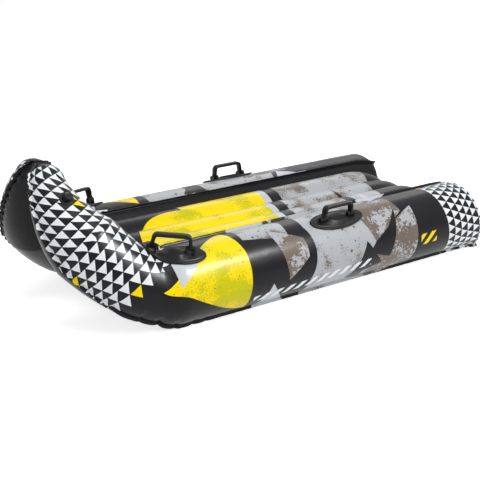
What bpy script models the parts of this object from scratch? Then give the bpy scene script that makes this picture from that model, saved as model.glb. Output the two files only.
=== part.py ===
"""Inflatable snow sled: two side tubes with an upswept nose, an I-beam floor and four handles.

World frame, metres: the nose points to -X, +X is the rear, +Z is up, and the ground is z = 0.
Left is the rider's left, at -Y. Each side tube is two flat-cut sheets welded along both edges,
so a tube is described by its spine, and by the seam axis and the print axis across it.
"""

import math

import bmesh
import bpy
from mathutils import Matrix, Vector

# Fits shared by all pieces
GAP = 0.0003                  # air between neighbouring pieces
OVERRUN = 0.002               # how far a cutter runs past what it cuts
SHEET = 0.001                 # thickness of the welded sheet
LIP = 0.008                   # width of a weld flange

# Side tubes
TUBE_RADIUS = 0.100
HALF_TRACK = 0.213            # middle plane to a tube's axis
GROUND_PRESS = 0.0025         # how far a tube flattens on the ground
REAR_X = 0.680                # the rear end seam
HEEL_X = -0.380               # where the nose starts to rise
REAR_ROUND = 0.062            # length of the rounded rear end
REAR_BLUNT = 2.6              # exponent of that rounding, 2 is an ellipse
REAR_FLARE_SHARE = 0.08       # widening of the outer edge at the rear end
REAR_TURN = math.radians(8)   # extra lean of the seams at the rear end
REAR_TURN_LENGTH = 0.10
REAR_SLANT = 0.030            # how much shorter the tube is along its inner seam
REAR_NARROW_SHARE = 0.20      # how much the inner edge draws in at the rear end
SEAM_LEAN = math.radians(26)  # inner seam, from the top of the tube towards the rider
NOSE_TILT = math.radians(33)  # lean of the plane in which the nose curves
NOSE_TURN = math.radians(8)   # how far the seams turn towards the front in the nose
HEEL_LENGTH, HEEL_BEND = 0.133, math.radians(47)
SHANK_LENGTH, SHANK_BEND = 0.1265, math.radians(9.5)
TOE_LENGTH, TOE_BEND = 0.182, math.radians(38.5)
HEEL_RADIUS_SHARE = 0.865     # the tube is pinched in the heel
SHANK_RADIUS_SHARE = 0.93
TIP_RADIUS_SHARE = 0.455
TIP_NARROW_SHARE = 0.62       # how much the outline narrows over the rounded tip
TUBE_FACETS = 12              # around half a tube
REAR_ROWS = 5
HEEL_ROWS = 8
SHANK_ROWS = 3
TOE_ROWS = 5
TIP_ROWS = 3
SHORTEST_SKIN = 3             # most that the spine is longer than the skin in the heel
HALVINGS = 20                 # of a bisection, wherever a place is searched

# Floor: three inflated channels between an upper and a lower sheet
FLOOR_REAR_X = 0.610
FLOOR_FRONT_X = -0.496
FLOOR_ROUND = 0.130           # length over which the channels taper at either end
FLOOR_BLUNT = 2.2
FLOOR_RISE_SHARE = 0.285      # mid height over the tubes' axes, of their radius
CHANNEL_WIDTH = 0.0917
WEB_HALF_HEIGHT = 0.030
CROWN_RISE = 0.018
CROWN_POWER = 0.75             # below 1 makes a crown fuller than a sine
OUTER_CROWN_RISE = 0.019
SHOULDER_SHARE = 0.695        # height over the axis where an outer channel meets its tube
KNEE_SHARE = 0.015            # and where it leaves the tube again underneath
FLOOR_SEAT = 0.0010           # floor to the round of a tube
SEAM_STEP = 0.004             # spacing of the side points where the floor ends
CENTRE_STEPS = 6
OUTER_STEPS = 5
NOSE_SAMPLES = 60             # how finely the nose is searched for the nearest point
SIDE_STEPS = 2                # down the side, to the lip at mid height
FLOOR_END_ROWS = 5
FLOOR_LONG_ROWS = 3
WEB_FRONT_X = -0.346
WEB_REAR_X = 0.454

# Handles
REAR_HANDLE_X = 0.1295
REAR_HANDLE_ANGLE = math.radians(50)   # from the inner seam, around the tube
REAR_GRIP_LEAN = math.radians(20)      # at rest it leans inwards from square to its pad
FRONT_HANDLE_AHEAD = 0.022             # of the heel
FRONT_HANDLE_ANGLE = math.radians(42)
FRONT_HANDLE_SKEW = math.radians(18)   # the front end of the pad turns to the inner seam
FRONT_GRIP_LEAN = 0
PAD_LENGTH = 0.182
PAD_WIDTH = 0.069
PAD_EDGE = 0.0018             # thickness at the rim
PAD_PLATE = 0.0030
PAD_SEAT = 0.0010             # pad to the round of the tube
PAD_BEAD_IN = 0.005           # rim bead, in from the edge
PAD_BEAD_RISE = 0.0012
DOME_LENGTH = 0.066
DOME_WIDTH = 0.042
DOME_RISE = 0.006
DOME_FOOT = 0.005             # width of the dome's curved foot
GRIP_FOOT_SPAN = 0.111
GRIP_TOP_SPAN = 0.097
GRIP_HEIGHT = 0.037           # above the pivot
GRIP_BAR = 0.0085             # thickness of the bar in the plane of the loop
GRIP_WIDTH = 0.018
GRIP_CORNER = 0.010
GRIP_EDGE = 0.0022            # rounding of the bar's edges
FOOT_LENGTH = 0.014
PIVOT_HEIGHT = 0.0108         # pivot above the tube
HEEL_PIVOT_RISE = 0.007       # more in the heel, where the tube curves up between the feet
KNUCKLE_RADIUS = 0.0065
LUG_LENGTH = 0.0055
LUG_HALF_WIDTH = 0.0062
LUG_HEAD_STEPS = 4
ROOT_STEPS = 4                # of the search for a point under the pivot
PIN_RADIUS = 0.0025
ROD_FACETS = 12
PAD_POINTS = 24
UNDER_SHARES = (0, 0.25, 0.5, 0.75, 1)      # rings under the pad, of its size
DOME_FLAT_SHARE = 0.5

# Valves
VALVE_S = 0.375               # along the spine from the heel to the horn valve
VALVE_ANGLE = math.radians(93)
FLOOR_VALVE_X = -0.414
FLANGE_RADIUS = 0.019
FLANGE_EDGE = 0.0012
FLANGE_THICK = 0.0018
FLANGE_SEAT = 0.0006
NECK_RADIUS = 0.0100
NECK_CLEAR = 0.0008           # neck to the hole in flange and sheet
COLLAR_RADIUS = 0.0128
COLLAR_LOW = 0.0038
COLLAR_HEIGHT = 0.0018
SPIGOT_RADIUS = 0.0088
SPIGOT_HEIGHT = 0.0062
NECK_DEPTH = 0.0090
BORE_RADIUS = 0.0062
SEAT_RADIUS = 0.0048
SEAT_THICK = 0.0018
BAR_HALF_WIDTH = 0.0018
STEM_HOLE_RADIUS = 0.0012
STEM_RADIUS = 0.0008
FLAP_RADIUS = 0.0058
FLAP_THICK = 0.0008
KNOB_RADIUS = 0.0018
KNOB_HEIGHT = 0.0016
SEAL_THICK = 0.0012
CAP_RADIUS = 0.0120
CAP_HEIGHT = 0.0092
CAP_RIB = 0.0006
CAP_EDGE = 0.0012
CAP_RIBS = 12
VALVE_FACETS = 16
STEM_FACETS = 8

LEFT, RIGHT = -1, 1
SIDES = {"left": LEFT, "right": RIGHT}
AXIS_HEIGHT = TUBE_RADIUS - GROUND_PRESS
FRONT_HANDLE_X = HEEL_X - FRONT_HANDLE_AHEAD
HEEL_RADIUS = TUBE_RADIUS * HEEL_RADIUS_SHARE
SHANK_RADIUS = TUBE_RADIUS * SHANK_RADIUS_SHARE
TIP_RADIUS = TUBE_RADIUS * TIP_RADIUS_SHARE
FLOOR_MID_Z = AXIS_HEIGHT + TUBE_RADIUS * FLOOR_RISE_SHARE
SHOULDER_Z = AXIS_HEIGHT + TUBE_RADIUS * SHOULDER_SHARE
KNEE_Z = AXIS_HEIGHT + TUBE_RADIUS * KNEE_SHARE
HEEL_S = REAR_X - HEEL_X
TIP_S = HEEL_S + HEEL_LENGTH + SHANK_LENGTH + TOE_LENGTH
SEAM_HALF = GAP + SHEET       # seam plane to a sheet's outer face

PRINT_GREY = (0.46, 0.48, 0.50)
DARK_VINYL = (0.030, 0.030, 0.036)
MOULDED_BLACK = (0.010, 0.010, 0.011)
RUBBER_GREY = (0.10, 0.10, 0.11)


# The spine and the shape of a side tube

def blend(start, end, share):
    return start + (end - start) * min(max(share, 0), 1)


def ease(start, end, share):
    """A blend that starts and ends level."""
    return blend(start, end, (1 - math.cos(math.pi * min(max(share, 0), 1))) / 2)


def spine(s):
    """Distance s from the rear seam gives x, the rise in the nose plane and the heading."""
    x, rise, heading = REAR_X - min(s, HEEL_S), 0, 0
    left = s - HEEL_S
    arcs = ((HEEL_LENGTH, HEEL_BEND), (SHANK_LENGTH, SHANK_BEND), (TOE_LENGTH, TOE_BEND))
    for length, bend in arcs:
        run = min(max(left, 0), length)
        turn = bend * run / length
        radius = length / bend
        x -= radius * (math.sin(heading + turn) - math.sin(heading))
        rise += radius * (math.cos(heading) - math.cos(heading + turn))
        heading += turn
        left -= run
    if left > 0:
        x -= left * math.cos(heading)
        rise += left * math.sin(heading)
    return x, rise, heading


def tube_frame(side, s):
    """Centre, heading, seam axis (to the inner seam) and print axis (out of the printed sheet)."""
    x, rise, heading = spine(s)
    up = Vector((0, -side * math.sin(NOSE_TILT), math.cos(NOSE_TILT)))
    out = Vector((0, side * math.cos(NOSE_TILT), math.sin(NOSE_TILT)))
    along = Vector((-math.cos(heading), 0, 0)) + up * math.sin(heading)
    across = Vector((math.sin(heading), 0, 0)) + up * math.cos(heading)
    straight_turn = NOSE_TILT - SEAM_LEAN
    turn = blend(straight_turn, -NOSE_TURN, (s - HEEL_S) / (HEEL_LENGTH + SHANK_LENGTH))
    turn -= REAR_TURN * (1 - min(max(s, 0) / REAR_TURN_LENGTH, 1))
    seam_axis = across * math.cos(turn) + out * math.sin(turn)
    print_axis = out * math.cos(turn) - across * math.sin(turn)
    centre = Vector((x, side * HALF_TRACK, AXIS_HEIGHT)) + up * rise
    return centre, along, seam_axis, print_axis


def tube_radius(s):
    run = s - HEEL_S
    mid_heel = HEEL_LENGTH / 2
    shank_end = HEEL_LENGTH + SHANK_LENGTH
    if run < mid_heel:
        return ease(TUBE_RADIUS, HEEL_RADIUS, run / mid_heel)
    if run < shank_end:
        return ease(HEEL_RADIUS, SHANK_RADIUS, (run - mid_heel) / (shank_end - mid_heel))
    return blend(SHANK_RADIUS, TIP_RADIUS, (run - shank_end) / TOE_LENGTH)


def surface(side, s, angle, height):
    """A point above the tube's skin, with angle measured from the inner seam."""
    centre, _, seam_axis, print_axis = tube_frame(side, s)
    out = seam_axis * math.cos(angle) + print_axis * math.sin(angle)
    lift = SEAM_HALF * (1 - math.sin(angle))
    return centre + out * (tube_radius(s) + height) + print_axis * lift


def skin_point(side, s, angle, back, around, height):
    """A point above the skin, at distances back and around from the place (s, angle)."""
    turn = angle + side * around / tube_radius(s)
    start = surface(side, s, turn, 0)
    low, high = 0, abs(back) * SHORTEST_SKIN
    for _ in range(HALVINGS):
        middle = (low + high) / 2
        reached = surface(side, s - math.copysign(middle, back), turn, 0)
        if (reached - start).length < abs(back):
            low = middle
        else:
            high = middle
    return surface(side, s - math.copysign(low, back), turn, height)


def tube_rows():
    """Stations of a sheet: s, half width to the inner and outer edge, and half depth."""
    rows = []
    for step in range(REAR_ROWS + 1):
        turn = math.pi / 2 * step / REAR_ROWS
        share = math.cos(turn) ** (2 / REAR_BLUNT)
        depth = TUBE_RADIUS * math.sin(turn) ** (2 / REAR_BLUNT)
        outer = TUBE_RADIUS * (1 + REAR_FLARE_SHARE * share)
        inner = TUBE_RADIUS * (1 - REAR_NARROW_SHARE * share ** 2)
        rows.append((REAR_ROUND * (1 - share), inner, outer, depth))
    rows.append((REAR_TURN_LENGTH, TUBE_RADIUS, TUBE_RADIUS, TUBE_RADIUS))
    stretches = ((0, HEEL_LENGTH, HEEL_ROWS), (HEEL_LENGTH, SHANK_LENGTH, SHANK_ROWS),
                 (HEEL_LENGTH + SHANK_LENGTH, TOE_LENGTH, TOE_ROWS))
    for start, length, count in stretches:
        for step in range(count):
            s = HEEL_S + start + length * step / count
            radius = tube_radius(s)
            rows.append((s, radius, radius, radius))
    for step in range(TIP_ROWS + 1):
        turn = math.pi / 2 * step / TIP_ROWS
        width = TIP_RADIUS * (1 - TIP_NARROW_SHARE * math.sin(turn) ** 2)
        depth = TIP_RADIUS * math.cos(turn)
        rows.append((TIP_S + TIP_RADIUS * math.sin(turn), width, width, depth))
    return rows


def on_its_side(point, side):
    """Soft sheets flatten on the ground and where the two noses lean together."""
    if point.z < 0:
        point.z = 0
    if point.y * side < GAP / 2:
        point.y = side * GAP / 2
    return point


def panel_grid(side, face):
    """Outer skin of one sheet; face is 1 for the printed sheet and -1 for the inner one."""
    rows = tube_rows()
    first, last = rows[0], rows[-1]
    rows.insert(0, (first[0] - LIP, first[1], first[2], 0))
    rows.append((last[0] + LIP, last[1], last[2], 0))
    grid = []
    for s, inner, outer, depth in rows:
        centre, _, seam_axis, print_axis = tube_frame(side, s)
        slant = REAR_SLANT * (1 - min(max(s, 0) / REAR_TURN_LENGTH, 1))
        line = [(inner + LIP, 0)]
        for step in range(TUBE_FACETS + 1):
            turn = math.pi * step / TUBE_FACETS
            width = inner if step * 2 < TUBE_FACETS else outer
            line.append((width * math.cos(turn), max(depth - SEAM_HALF, 0) * math.sin(turn)))
        line.append((-outer - LIP, 0))
        points = []
        for across, bulge in line:
            point = centre + seam_axis * across + print_axis * face * (SEAM_HALF + bulge)
            point.x -= slant * max(1 + across / TUBE_RADIUS, 0) / 2
            points.append(on_its_side(point, side))
        grid.append(points)
    return grid


# Helpers that turn outlines into objects

def make_object(name, mesh, colour, roughness=0.5, metallic=0):
    mesh.name = name
    obj = bpy.data.objects.new(name, mesh)
    bpy.context.collection.objects.link(obj)
    material = bpy.data.materials.new(name + "_finish")
    material.use_nodes = True
    shader = material.node_tree.nodes["Principled BSDF"]
    shader.inputs["Base Color"].default_value = (*colour, 1)
    shader.inputs["Roughness"].default_value = roughness
    shader.inputs["Metallic"].default_value = metallic
    mesh.materials.append(material)
    return obj


def mesh_from(points, faces, facing=None):
    """A mesh of world points; an open sheet is turned to face along the vector facing."""
    mesh = bpy.data.meshes.new("piece")
    build = bmesh.new()
    verts = [build.verts.new(point) for point in points]
    for face in faces:
        build.faces.new([verts[index] for index in face])
    bmesh.ops.recalc_face_normals(build, faces=build.faces)
    if facing is not None:
        build.normal_update()
        total = sum((face.normal * face.calc_area() for face in build.faces), Vector())
        if total.dot(facing) < 0:
            bmesh.ops.reverse_faces(build, faces=build.faces)
    elif build.calc_volume(signed=True) < 0:
        bmesh.ops.reverse_faces(build, faces=build.faces)
    build.to_mesh(mesh)
    build.free()
    mesh.shade_smooth()
    mesh.set_sharp_from_angle(angle=math.radians(38))
    return mesh


def grid_mesh(grid, facing):
    count = len(grid[0])
    points = [point for line in grid for point in line]
    faces = [(row * count + col, row * count + col + 1,
              (row + 1) * count + col + 1, (row + 1) * count + col)
             for row in range(len(grid) - 1) for col in range(count - 1)]
    return mesh_from(points, faces, facing)


def loft_mesh(rings, closed=False):
    """Rings joined in order; a ring of one point is a tip, and open ends are capped."""
    points, loops = [], []
    for ring in rings:
        loops.append(list(range(len(points), len(points) + len(ring))))
        points.extend(ring)
    count = max(len(loop) for loop in loops)
    faces = []
    for row in range(len(loops) if closed else len(loops) - 1):
        low, high = loops[row], loops[(row + 1) % len(loops)]
        for col in range(count):
            turn = (col + 1) % count
            corners = [low[col % len(low)], low[turn % len(low)],
                       high[turn % len(high)], high[col % len(high)]]
            faces.append(tuple(dict.fromkeys(corners)))
    for loop in (loops[0], loops[-1]):
        if not closed and len(loop) > 1:
            faces.append(tuple(loop))
    return mesh_from(points, faces)


def turned_mesh(profile, facets):
    """A profile of (radius, height) turned about Z; off the axis it closes on itself."""
    rings = []
    for radius, height in profile:
        turns = [2 * math.pi * step / facets for step in range(facets if radius else 1)]
        rings.append([Vector((radius * math.cos(turn), radius * math.sin(turn), height))
                      for turn in turns])
    return loft_mesh(rings, closed=profile[0][0] > 0)


def cylinder_mesh(radius, start, end, facets):
    return turned_mesh(((0, start), (radius, start), (radius, end), (0, end)), facets)


def box_mesh(low, high):
    ring = ((low[0], low[1]), (high[0], low[1]), (high[0], high[1]), (low[0], high[1]))
    return loft_mesh([[Vector((x, y, z)) for x, y in ring] for z in (low[2], high[2])])


def combine(obj, tool_mesh, operation, parent=None, solver="EXACT"):
    """Adds a Boolean with a wire tool, which has no material and is never shown."""
    tool = bpy.data.objects.new(obj.name + "_" + operation.lower() + "_tool", tool_mesh)
    bpy.context.collection.objects.link(tool)
    tool.hide_render = True
    tool.display_type = "WIRE"
    tool.parent = parent
    cut = obj.modifiers.new(operation.title(), "BOOLEAN")
    cut.operation = operation
    cut.solver = solver
    cut.object = tool


def add_sheet(name, grid, facing, colour):
    obj = make_object(name, grid_mesh(grid, facing), colour, 0.42)
    wall = obj.modifiers.new("Sheet", "SOLIDIFY")
    wall.thickness = SHEET
    wall.offset = -1
    wall.use_even_offset = True
    return obj


def anchor(name, matrix):
    """An empty that carries a group of rigid pieces."""
    empty = bpy.data.objects.new(name, None)
    bpy.context.collection.objects.link(empty)
    empty.matrix_world = matrix
    return empty


def axes_matrix(origin, x_axis, z_axis):
    x_axis = x_axis.normalized()
    z_axis = (z_axis - x_axis * z_axis.dot(x_axis)).normalized()
    y_axis = z_axis.cross(x_axis)
    matrix = Matrix((x_axis, y_axis, z_axis)).transposed().to_4x4()
    matrix.translation = origin
    return matrix


# Side tubes

def make_tube(word, side):
    _, _, _, print_axis = tube_frame(side, HEEL_S)
    printed = add_sheet(word + "_tube_printed_panel", panel_grid(side, 1), print_axis,
                        PRINT_GREY)
    add_sheet(word + "_tube_inner_panel", panel_grid(side, -1), -print_axis, DARK_VINYL)
    return printed


# Floor

def tube_gap(point, side):
    """Distance from a point to the round of a tube."""
    best = TUBE_RADIUS
    for step in range(NOSE_SAMPLES + 1):
        s = blend(HEEL_S, TIP_S, step / NOSE_SAMPLES)
        centre, _, _, _ = tube_frame(side, s)
        best = min(best, (point - centre).length - tube_radius(s))
    if point.x > HEEL_X:
        reach = math.hypot(point.y - side * HALF_TRACK, point.z - AXIS_HEIGHT)
        best = min(best, reach - TUBE_RADIUS)
    return best


def clear_of_tube(x, y, z):
    """Draws a point of the floor's side in until it clears the tube beside it."""
    if y == 0:
        return y
    side = math.copysign(1, y)
    low, high = 0, abs(y)
    if tube_gap(Vector((x, y, z)), side) >= FLOOR_SEAT:
        return y
    for _ in range(HALVINGS):
        middle = (low + high) / 2
        if tube_gap(Vector((x, side * middle, z)), side) >= FLOOR_SEAT:
            low = middle
        else:
            high = middle
    return side * low


def tube_side_y(z):
    """Where the side of the floor lies on the straight tube at height z."""
    reach = TUBE_RADIUS + FLOOR_SEAT
    return HALF_TRACK - math.sqrt(reach ** 2 - (z - AXIS_HEIGHT) ** 2)


def floor_outline(top):
    """Half of the floor's section: (y, height off the middle) from the centre to the side."""
    groove = CHANNEL_WIDTH / 2
    sign = 1 if top else -1
    half = []
    for step in range(CENTRE_STEPS // 2 + 1):
        share = 2 * step / CENTRE_STEPS
        crown = max(math.cos(math.pi / 2 * share), 0) ** CROWN_POWER
        crown = crown if step * 2 < CENTRE_STEPS else 0
        half.append((groove * share, sign * (WEB_HALF_HEIGHT + CROWN_RISE * crown)))
    edge_z = SHOULDER_Z if top else KNEE_Z
    edge_y = tube_side_y(edge_z)
    edge_height = abs(edge_z - FLOOR_MID_Z)
    for step in range(1, OUTER_STEPS + 1):
        share = step / OUTER_STEPS
        crown = math.sin(math.pi * share) ** CROWN_POWER if step < OUTER_STEPS else 0
        height = blend(WEB_HALF_HEIGHT, edge_height, share) + OUTER_CROWN_RISE * crown
        half.append((blend(groove, edge_y, share), sign * height))
    for step in range(1, SIDE_STEPS + 1):
        height = edge_height * (1 - step / SIDE_STEPS)
        half.append((tube_side_y(FLOOR_MID_Z + sign * height), sign * height))
    return half


def floor_fill(x):
    """How far the channels are blown up at x, from 0 at an end seam to 1."""
    reach = min(x - FLOOR_FRONT_X, FLOOR_REAR_X - x)
    share = 1 - min(max(reach, 0) / FLOOR_ROUND, 1)
    return (1 - share ** FLOOR_BLUNT) ** (1 / FLOOR_BLUNT)


def floor_stations():
    ends = []
    for step in range(FLOOR_END_ROWS):
        turn = math.pi / 2 * step / FLOOR_END_ROWS
        ends.append(FLOOR_ROUND * (1 - math.cos(turn) ** (2 / FLOOR_BLUNT)))
    front = FLOOR_FRONT_X + FLOOR_ROUND
    rear = FLOOR_REAR_X - FLOOR_ROUND
    middle = [blend(front, rear, step / FLOOR_LONG_ROWS) for step in range(FLOOR_LONG_ROWS + 1)]
    stations = [FLOOR_FRONT_X - LIP] + [FLOOR_FRONT_X + run for run in ends] + middle
    return stations + [FLOOR_REAR_X - run for run in reversed(ends)] + [FLOOR_REAR_X + LIP]


def floor_grid(top):
    half = floor_outline(top)
    sign = 1 if top else -1
    outer_flat = tube_side_y(FLOOR_MID_Z) - SEAM_STEP
    grid = []
    for x in floor_stations():
        fill = floor_fill(x)
        line = []
        for index, (y, height) in enumerate(half):
            left_to_go = len(half) - 1 - index
            flat_y = min(y, outer_flat - SEAM_STEP * left_to_go)
            offset = sign * SEAM_HALF * (1 - fill) + sign * GAP / 2 * fill
            z = FLOOR_MID_Z + offset + height * fill
            line.append((blend(flat_y, y, fill), z))
        squeeze = min(clear_of_tube(x, y, z) / y for y, z in line[1:])
        line = [(y * squeeze, z) for y, z in line]
        points = [Vector((x, -y, z)) for y, z in reversed(line[1:])]
        grid.append(points + [Vector((x, y, z)) for y, z in line])
    return grid


def make_floor():
    top = add_sheet("floor_top_panel", floor_grid(True), Vector((0, 0, 1)), PRINT_GREY)
    add_sheet("floor_bottom_panel", floor_grid(False), Vector((0, 0, -1)), DARK_VINYL)
    half = floor_outline(True)
    groove_index = CENTRE_STEPS // 2
    run = half[groove_index][0] - half[groove_index - 1][0]
    slope = (half[groove_index - 1][1] - half[groove_index][1]) / run
    clearance = SHEET * math.hypot(1, slope) + 2 * GAP
    height = WEB_HALF_HEIGHT - clearance
    for word, side in SIDES.items():
        y = side * CHANNEL_WIDTH / 2
        mesh = box_mesh((WEB_FRONT_X, y - SHEET / 2, FLOOR_MID_Z - height),
                        (WEB_REAR_X, y + SHEET / 2, FLOOR_MID_Z + height))
        make_object("floor_" + word + "_web", mesh, DARK_VINYL, 0.5)
    return top


# Handles

def pad_ring(place, length, width, height):
    """An oval ring of PAD_POINTS points laid on the tube at a height above its skin."""
    if length == 0:
        return [place(0, 0, height)]
    ring = []
    for step in range(PAD_POINTS):
        turn = 2 * math.pi * step / PAD_POINTS
        ring.append(place(length / 2 * math.cos(turn), width / 2 * math.sin(turn), height))
    return ring


def add_pad(name, place):
    """The moulded oval base: rim, plate and the low dome between the grip's feet."""
    seat = PAD_SEAT
    plate = seat + PAD_PLATE
    roof = plate + DOME_RISE
    foot = 2 * DOME_FOOT
    rings = [pad_ring(place, PAD_LENGTH * share, PAD_WIDTH * share, seat)
             for share in UNDER_SHARES]
    rings.append(pad_ring(place, PAD_LENGTH, PAD_WIDTH, seat + PAD_EDGE))
    rings.append(pad_ring(place, PAD_LENGTH - PAD_BEAD_IN, PAD_WIDTH - PAD_BEAD_IN,
                          plate + PAD_BEAD_RISE))
    rings.append(pad_ring(place, PAD_LENGTH - 2 * PAD_BEAD_IN, PAD_WIDTH - 2 * PAD_BEAD_IN, plate))
    rings.append(pad_ring(place, DOME_LENGTH + foot, DOME_WIDTH + foot, plate))
    rings.append(pad_ring(place, DOME_LENGTH, DOME_WIDTH, blend(plate, roof, 1 / 2)))
    rings.append(pad_ring(place, DOME_LENGTH - foot, DOME_WIDTH - foot, roof))
    rings.append(pad_ring(place, DOME_LENGTH * DOME_FLAT_SHARE, DOME_WIDTH * DOME_FLAT_SHARE,
                          roof))
    rings.append(pad_ring(place, 0, 0, roof))
    return make_object(name, loft_mesh(rings), MOULDED_BLACK, 0.45)


def foot_centre():
    return (GRIP_FOOT_SPAN - FOOT_LENGTH) / 2


def lug_spans():
    """Lengthwise places of the ears: one on either side of each foot."""
    inner_end = foot_centre() - FOOT_LENGTH / 2 - GAP
    outer_start = foot_centre() + FOOT_LENGTH / 2 + GAP
    spans = ((inner_end - LUG_LENGTH, inner_end), (outer_start, outer_start + LUG_LENGTH))
    return [(mirror * low, mirror * high) for mirror in (-1, 1) for low, high in spans]


def point_under(matrix, side, u, v, height):
    """The point under (u, v) of the handle's frame that is at a height above the skin."""
    drop = 0
    for _ in range(ROOT_STEPS):
        drop += tube_gap(matrix @ Vector((u, v, -drop)), side) - height
    return matrix @ Vector((u, v, -drop))


def lug_mesh(matrix, side, span):
    """An ear whose root lies in the plate and whose round head is about the pivot."""
    rings = []
    root = PAD_SEAT + PAD_PLATE / 2
    for u in span:
        ring = [point_under(matrix, side, u, -LUG_HALF_WIDTH, root)]
        for step in range(LUG_HEAD_STEPS + 1):
            turn = math.pi * step / LUG_HEAD_STEPS
            ring.append(matrix @ Vector((u, -LUG_HALF_WIDTH * math.cos(turn),
                                         LUG_HALF_WIDTH * math.sin(turn))))
        ring.append(point_under(matrix, side, u, LUG_HALF_WIDTH, root))
        rings.append(ring)
    return loft_mesh(rings)


def arc(centre, radius, start, end, steps):
    return [(centre[0] + radius * math.cos(blend(start, end, step / steps)),
             centre[1] + radius * math.sin(blend(start, end, step / steps)))
            for step in range(steps + 1)]


def grip_path():
    """Middle line of the loop, from one foot over the top to the other, in its own plane."""
    top = GRIP_HEIGHT - GRIP_BAR / 2
    corner = GRIP_TOP_SPAN / 2 - GRIP_BAR / 2
    lean = math.atan2(foot_centre() - corner, top)
    radius = GRIP_CORNER
    inset = radius * math.tan((math.pi / 2 - lean) / 2)
    left = arc((-corner + inset, top - radius), radius, math.pi - lean, math.pi / 2, 4)
    right = [(-x, z) for x, z in reversed(left)]
    return [(-foot_centre(), 0)] + left + right + [(foot_centre(), 0)]


def add_grip(name, parent):
    """A flat-strip loop that widens at its feet, with a knuckle on each foot."""
    path = grip_path()
    rings = []
    for index, (x, z) in enumerate(path):
        before = Vector(path[max(index - 1, 0)])
        after = Vector(path[min(index + 1, len(path) - 1)])
        run = (after - before).normalized()
        if index in (0, len(path) - 1):
            run = Vector((0, 1 if index == 0 else -1))
        normal = Vector((run.y, -run.x))
        thick = FOOT_LENGTH if index in (0, len(path) - 1) else GRIP_BAR
        wide = 2 * KNUCKLE_RADIUS if index in (0, len(path) - 1) else GRIP_WIDTH
        half_t, half_w = thick / 2, wide / 2
        edge = GRIP_EDGE
        section = ((-half_t + edge, -half_w), (half_t - edge, -half_w), (half_t, -half_w + edge),
                   (half_t, half_w - edge), (half_t - edge, half_w), (-half_t + edge, half_w),
                   (-half_t, half_w - edge), (-half_t, -half_w + edge))
        rings.append([Vector((x + normal.x * off, y, z + normal.y * off)) for off, y in section])
    obj = make_object(name, loft_mesh(rings), MOULDED_BLACK, 0.38)
    obj.parent = parent
    half = FOOT_LENGTH / 2
    combine(obj, pivot_rods(KNUCKLE_RADIUS, half), "UNION", parent)
    combine(obj, pivot_rods(PIN_RADIUS + GAP, half + OVERRUN), "DIFFERENCE", parent)
    return obj


def pivot_rod(radius, half):
    """A rod along the pivot."""
    mesh = cylinder_mesh(radius, -half, half, ROD_FACETS)
    mesh.transform(Matrix.Rotation(math.pi / 2, 4, "Y"))
    return mesh


def pivot_rods(radius, half):
    """The same rod at both feet of the grip."""
    mesh = bpy.data.meshes.new("rods")
    build = bmesh.new()
    for mirror in (-1, 1):
        piece = pivot_rod(radius, half)
        piece.transform(Matrix.Translation((mirror * foot_centre(), 0, 0)))
        build.from_mesh(piece)
    build.to_mesh(mesh)
    build.free()
    return mesh


def make_handle(word, side, x, angle, skew, pivot_height, lean):
    s = REAR_X - x
    skew *= -side

    def place(u, v, height):
        back = u * math.cos(skew) + v * math.sin(skew)
        around = v * math.cos(skew) - u * math.sin(skew)
        return skin_point(side, s, angle, back, around, height)

    reach = foot_centre()
    rear, front = place(reach, 0, 0), place(-reach, 0, 0)
    _, _, seam_axis, print_axis = tube_frame(side, s)
    out = seam_axis * math.cos(angle) + print_axis * math.sin(angle)
    matrix = axes_matrix((rear + front) / 2, rear - front, out)
    matrix = matrix @ Matrix.Translation((0, 0, pivot_height))
    pivot = anchor(word + "_handle_pivot", matrix)
    pad = add_pad(word + "_handle_base", place)
    for span in lug_spans():
        combine(pad, lug_mesh(matrix, side, span), "UNION", solver="MANIFOLD")
    half = FOOT_LENGTH / 2 + LUG_LENGTH
    combine(pad, pivot_rods(PIN_RADIUS + GAP, half + OVERRUN), "DIFFERENCE", pivot, "MANIFOLD")
    grip = add_grip(word + "_handle_grip", pivot)
    grip.rotation_euler.x = side * lean
    for end, mirror in (("front", -1), ("rear", 1)):
        pin = make_object(word + "_handle_" + end + "_pin", pivot_rod(PIN_RADIUS, half),
                          MOULDED_BLACK, 0.38)
        pin.location.x = mirror * foot_centre()
        pin.parent = pivot


# Valves

def flange_ring(place, radius, height):
    ring = []
    for step in range(VALVE_FACETS):
        turn = 2 * math.pi * step / VALVE_FACETS
        ring.append(place(radius * math.cos(turn), radius * math.sin(turn), height))
    return ring


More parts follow.
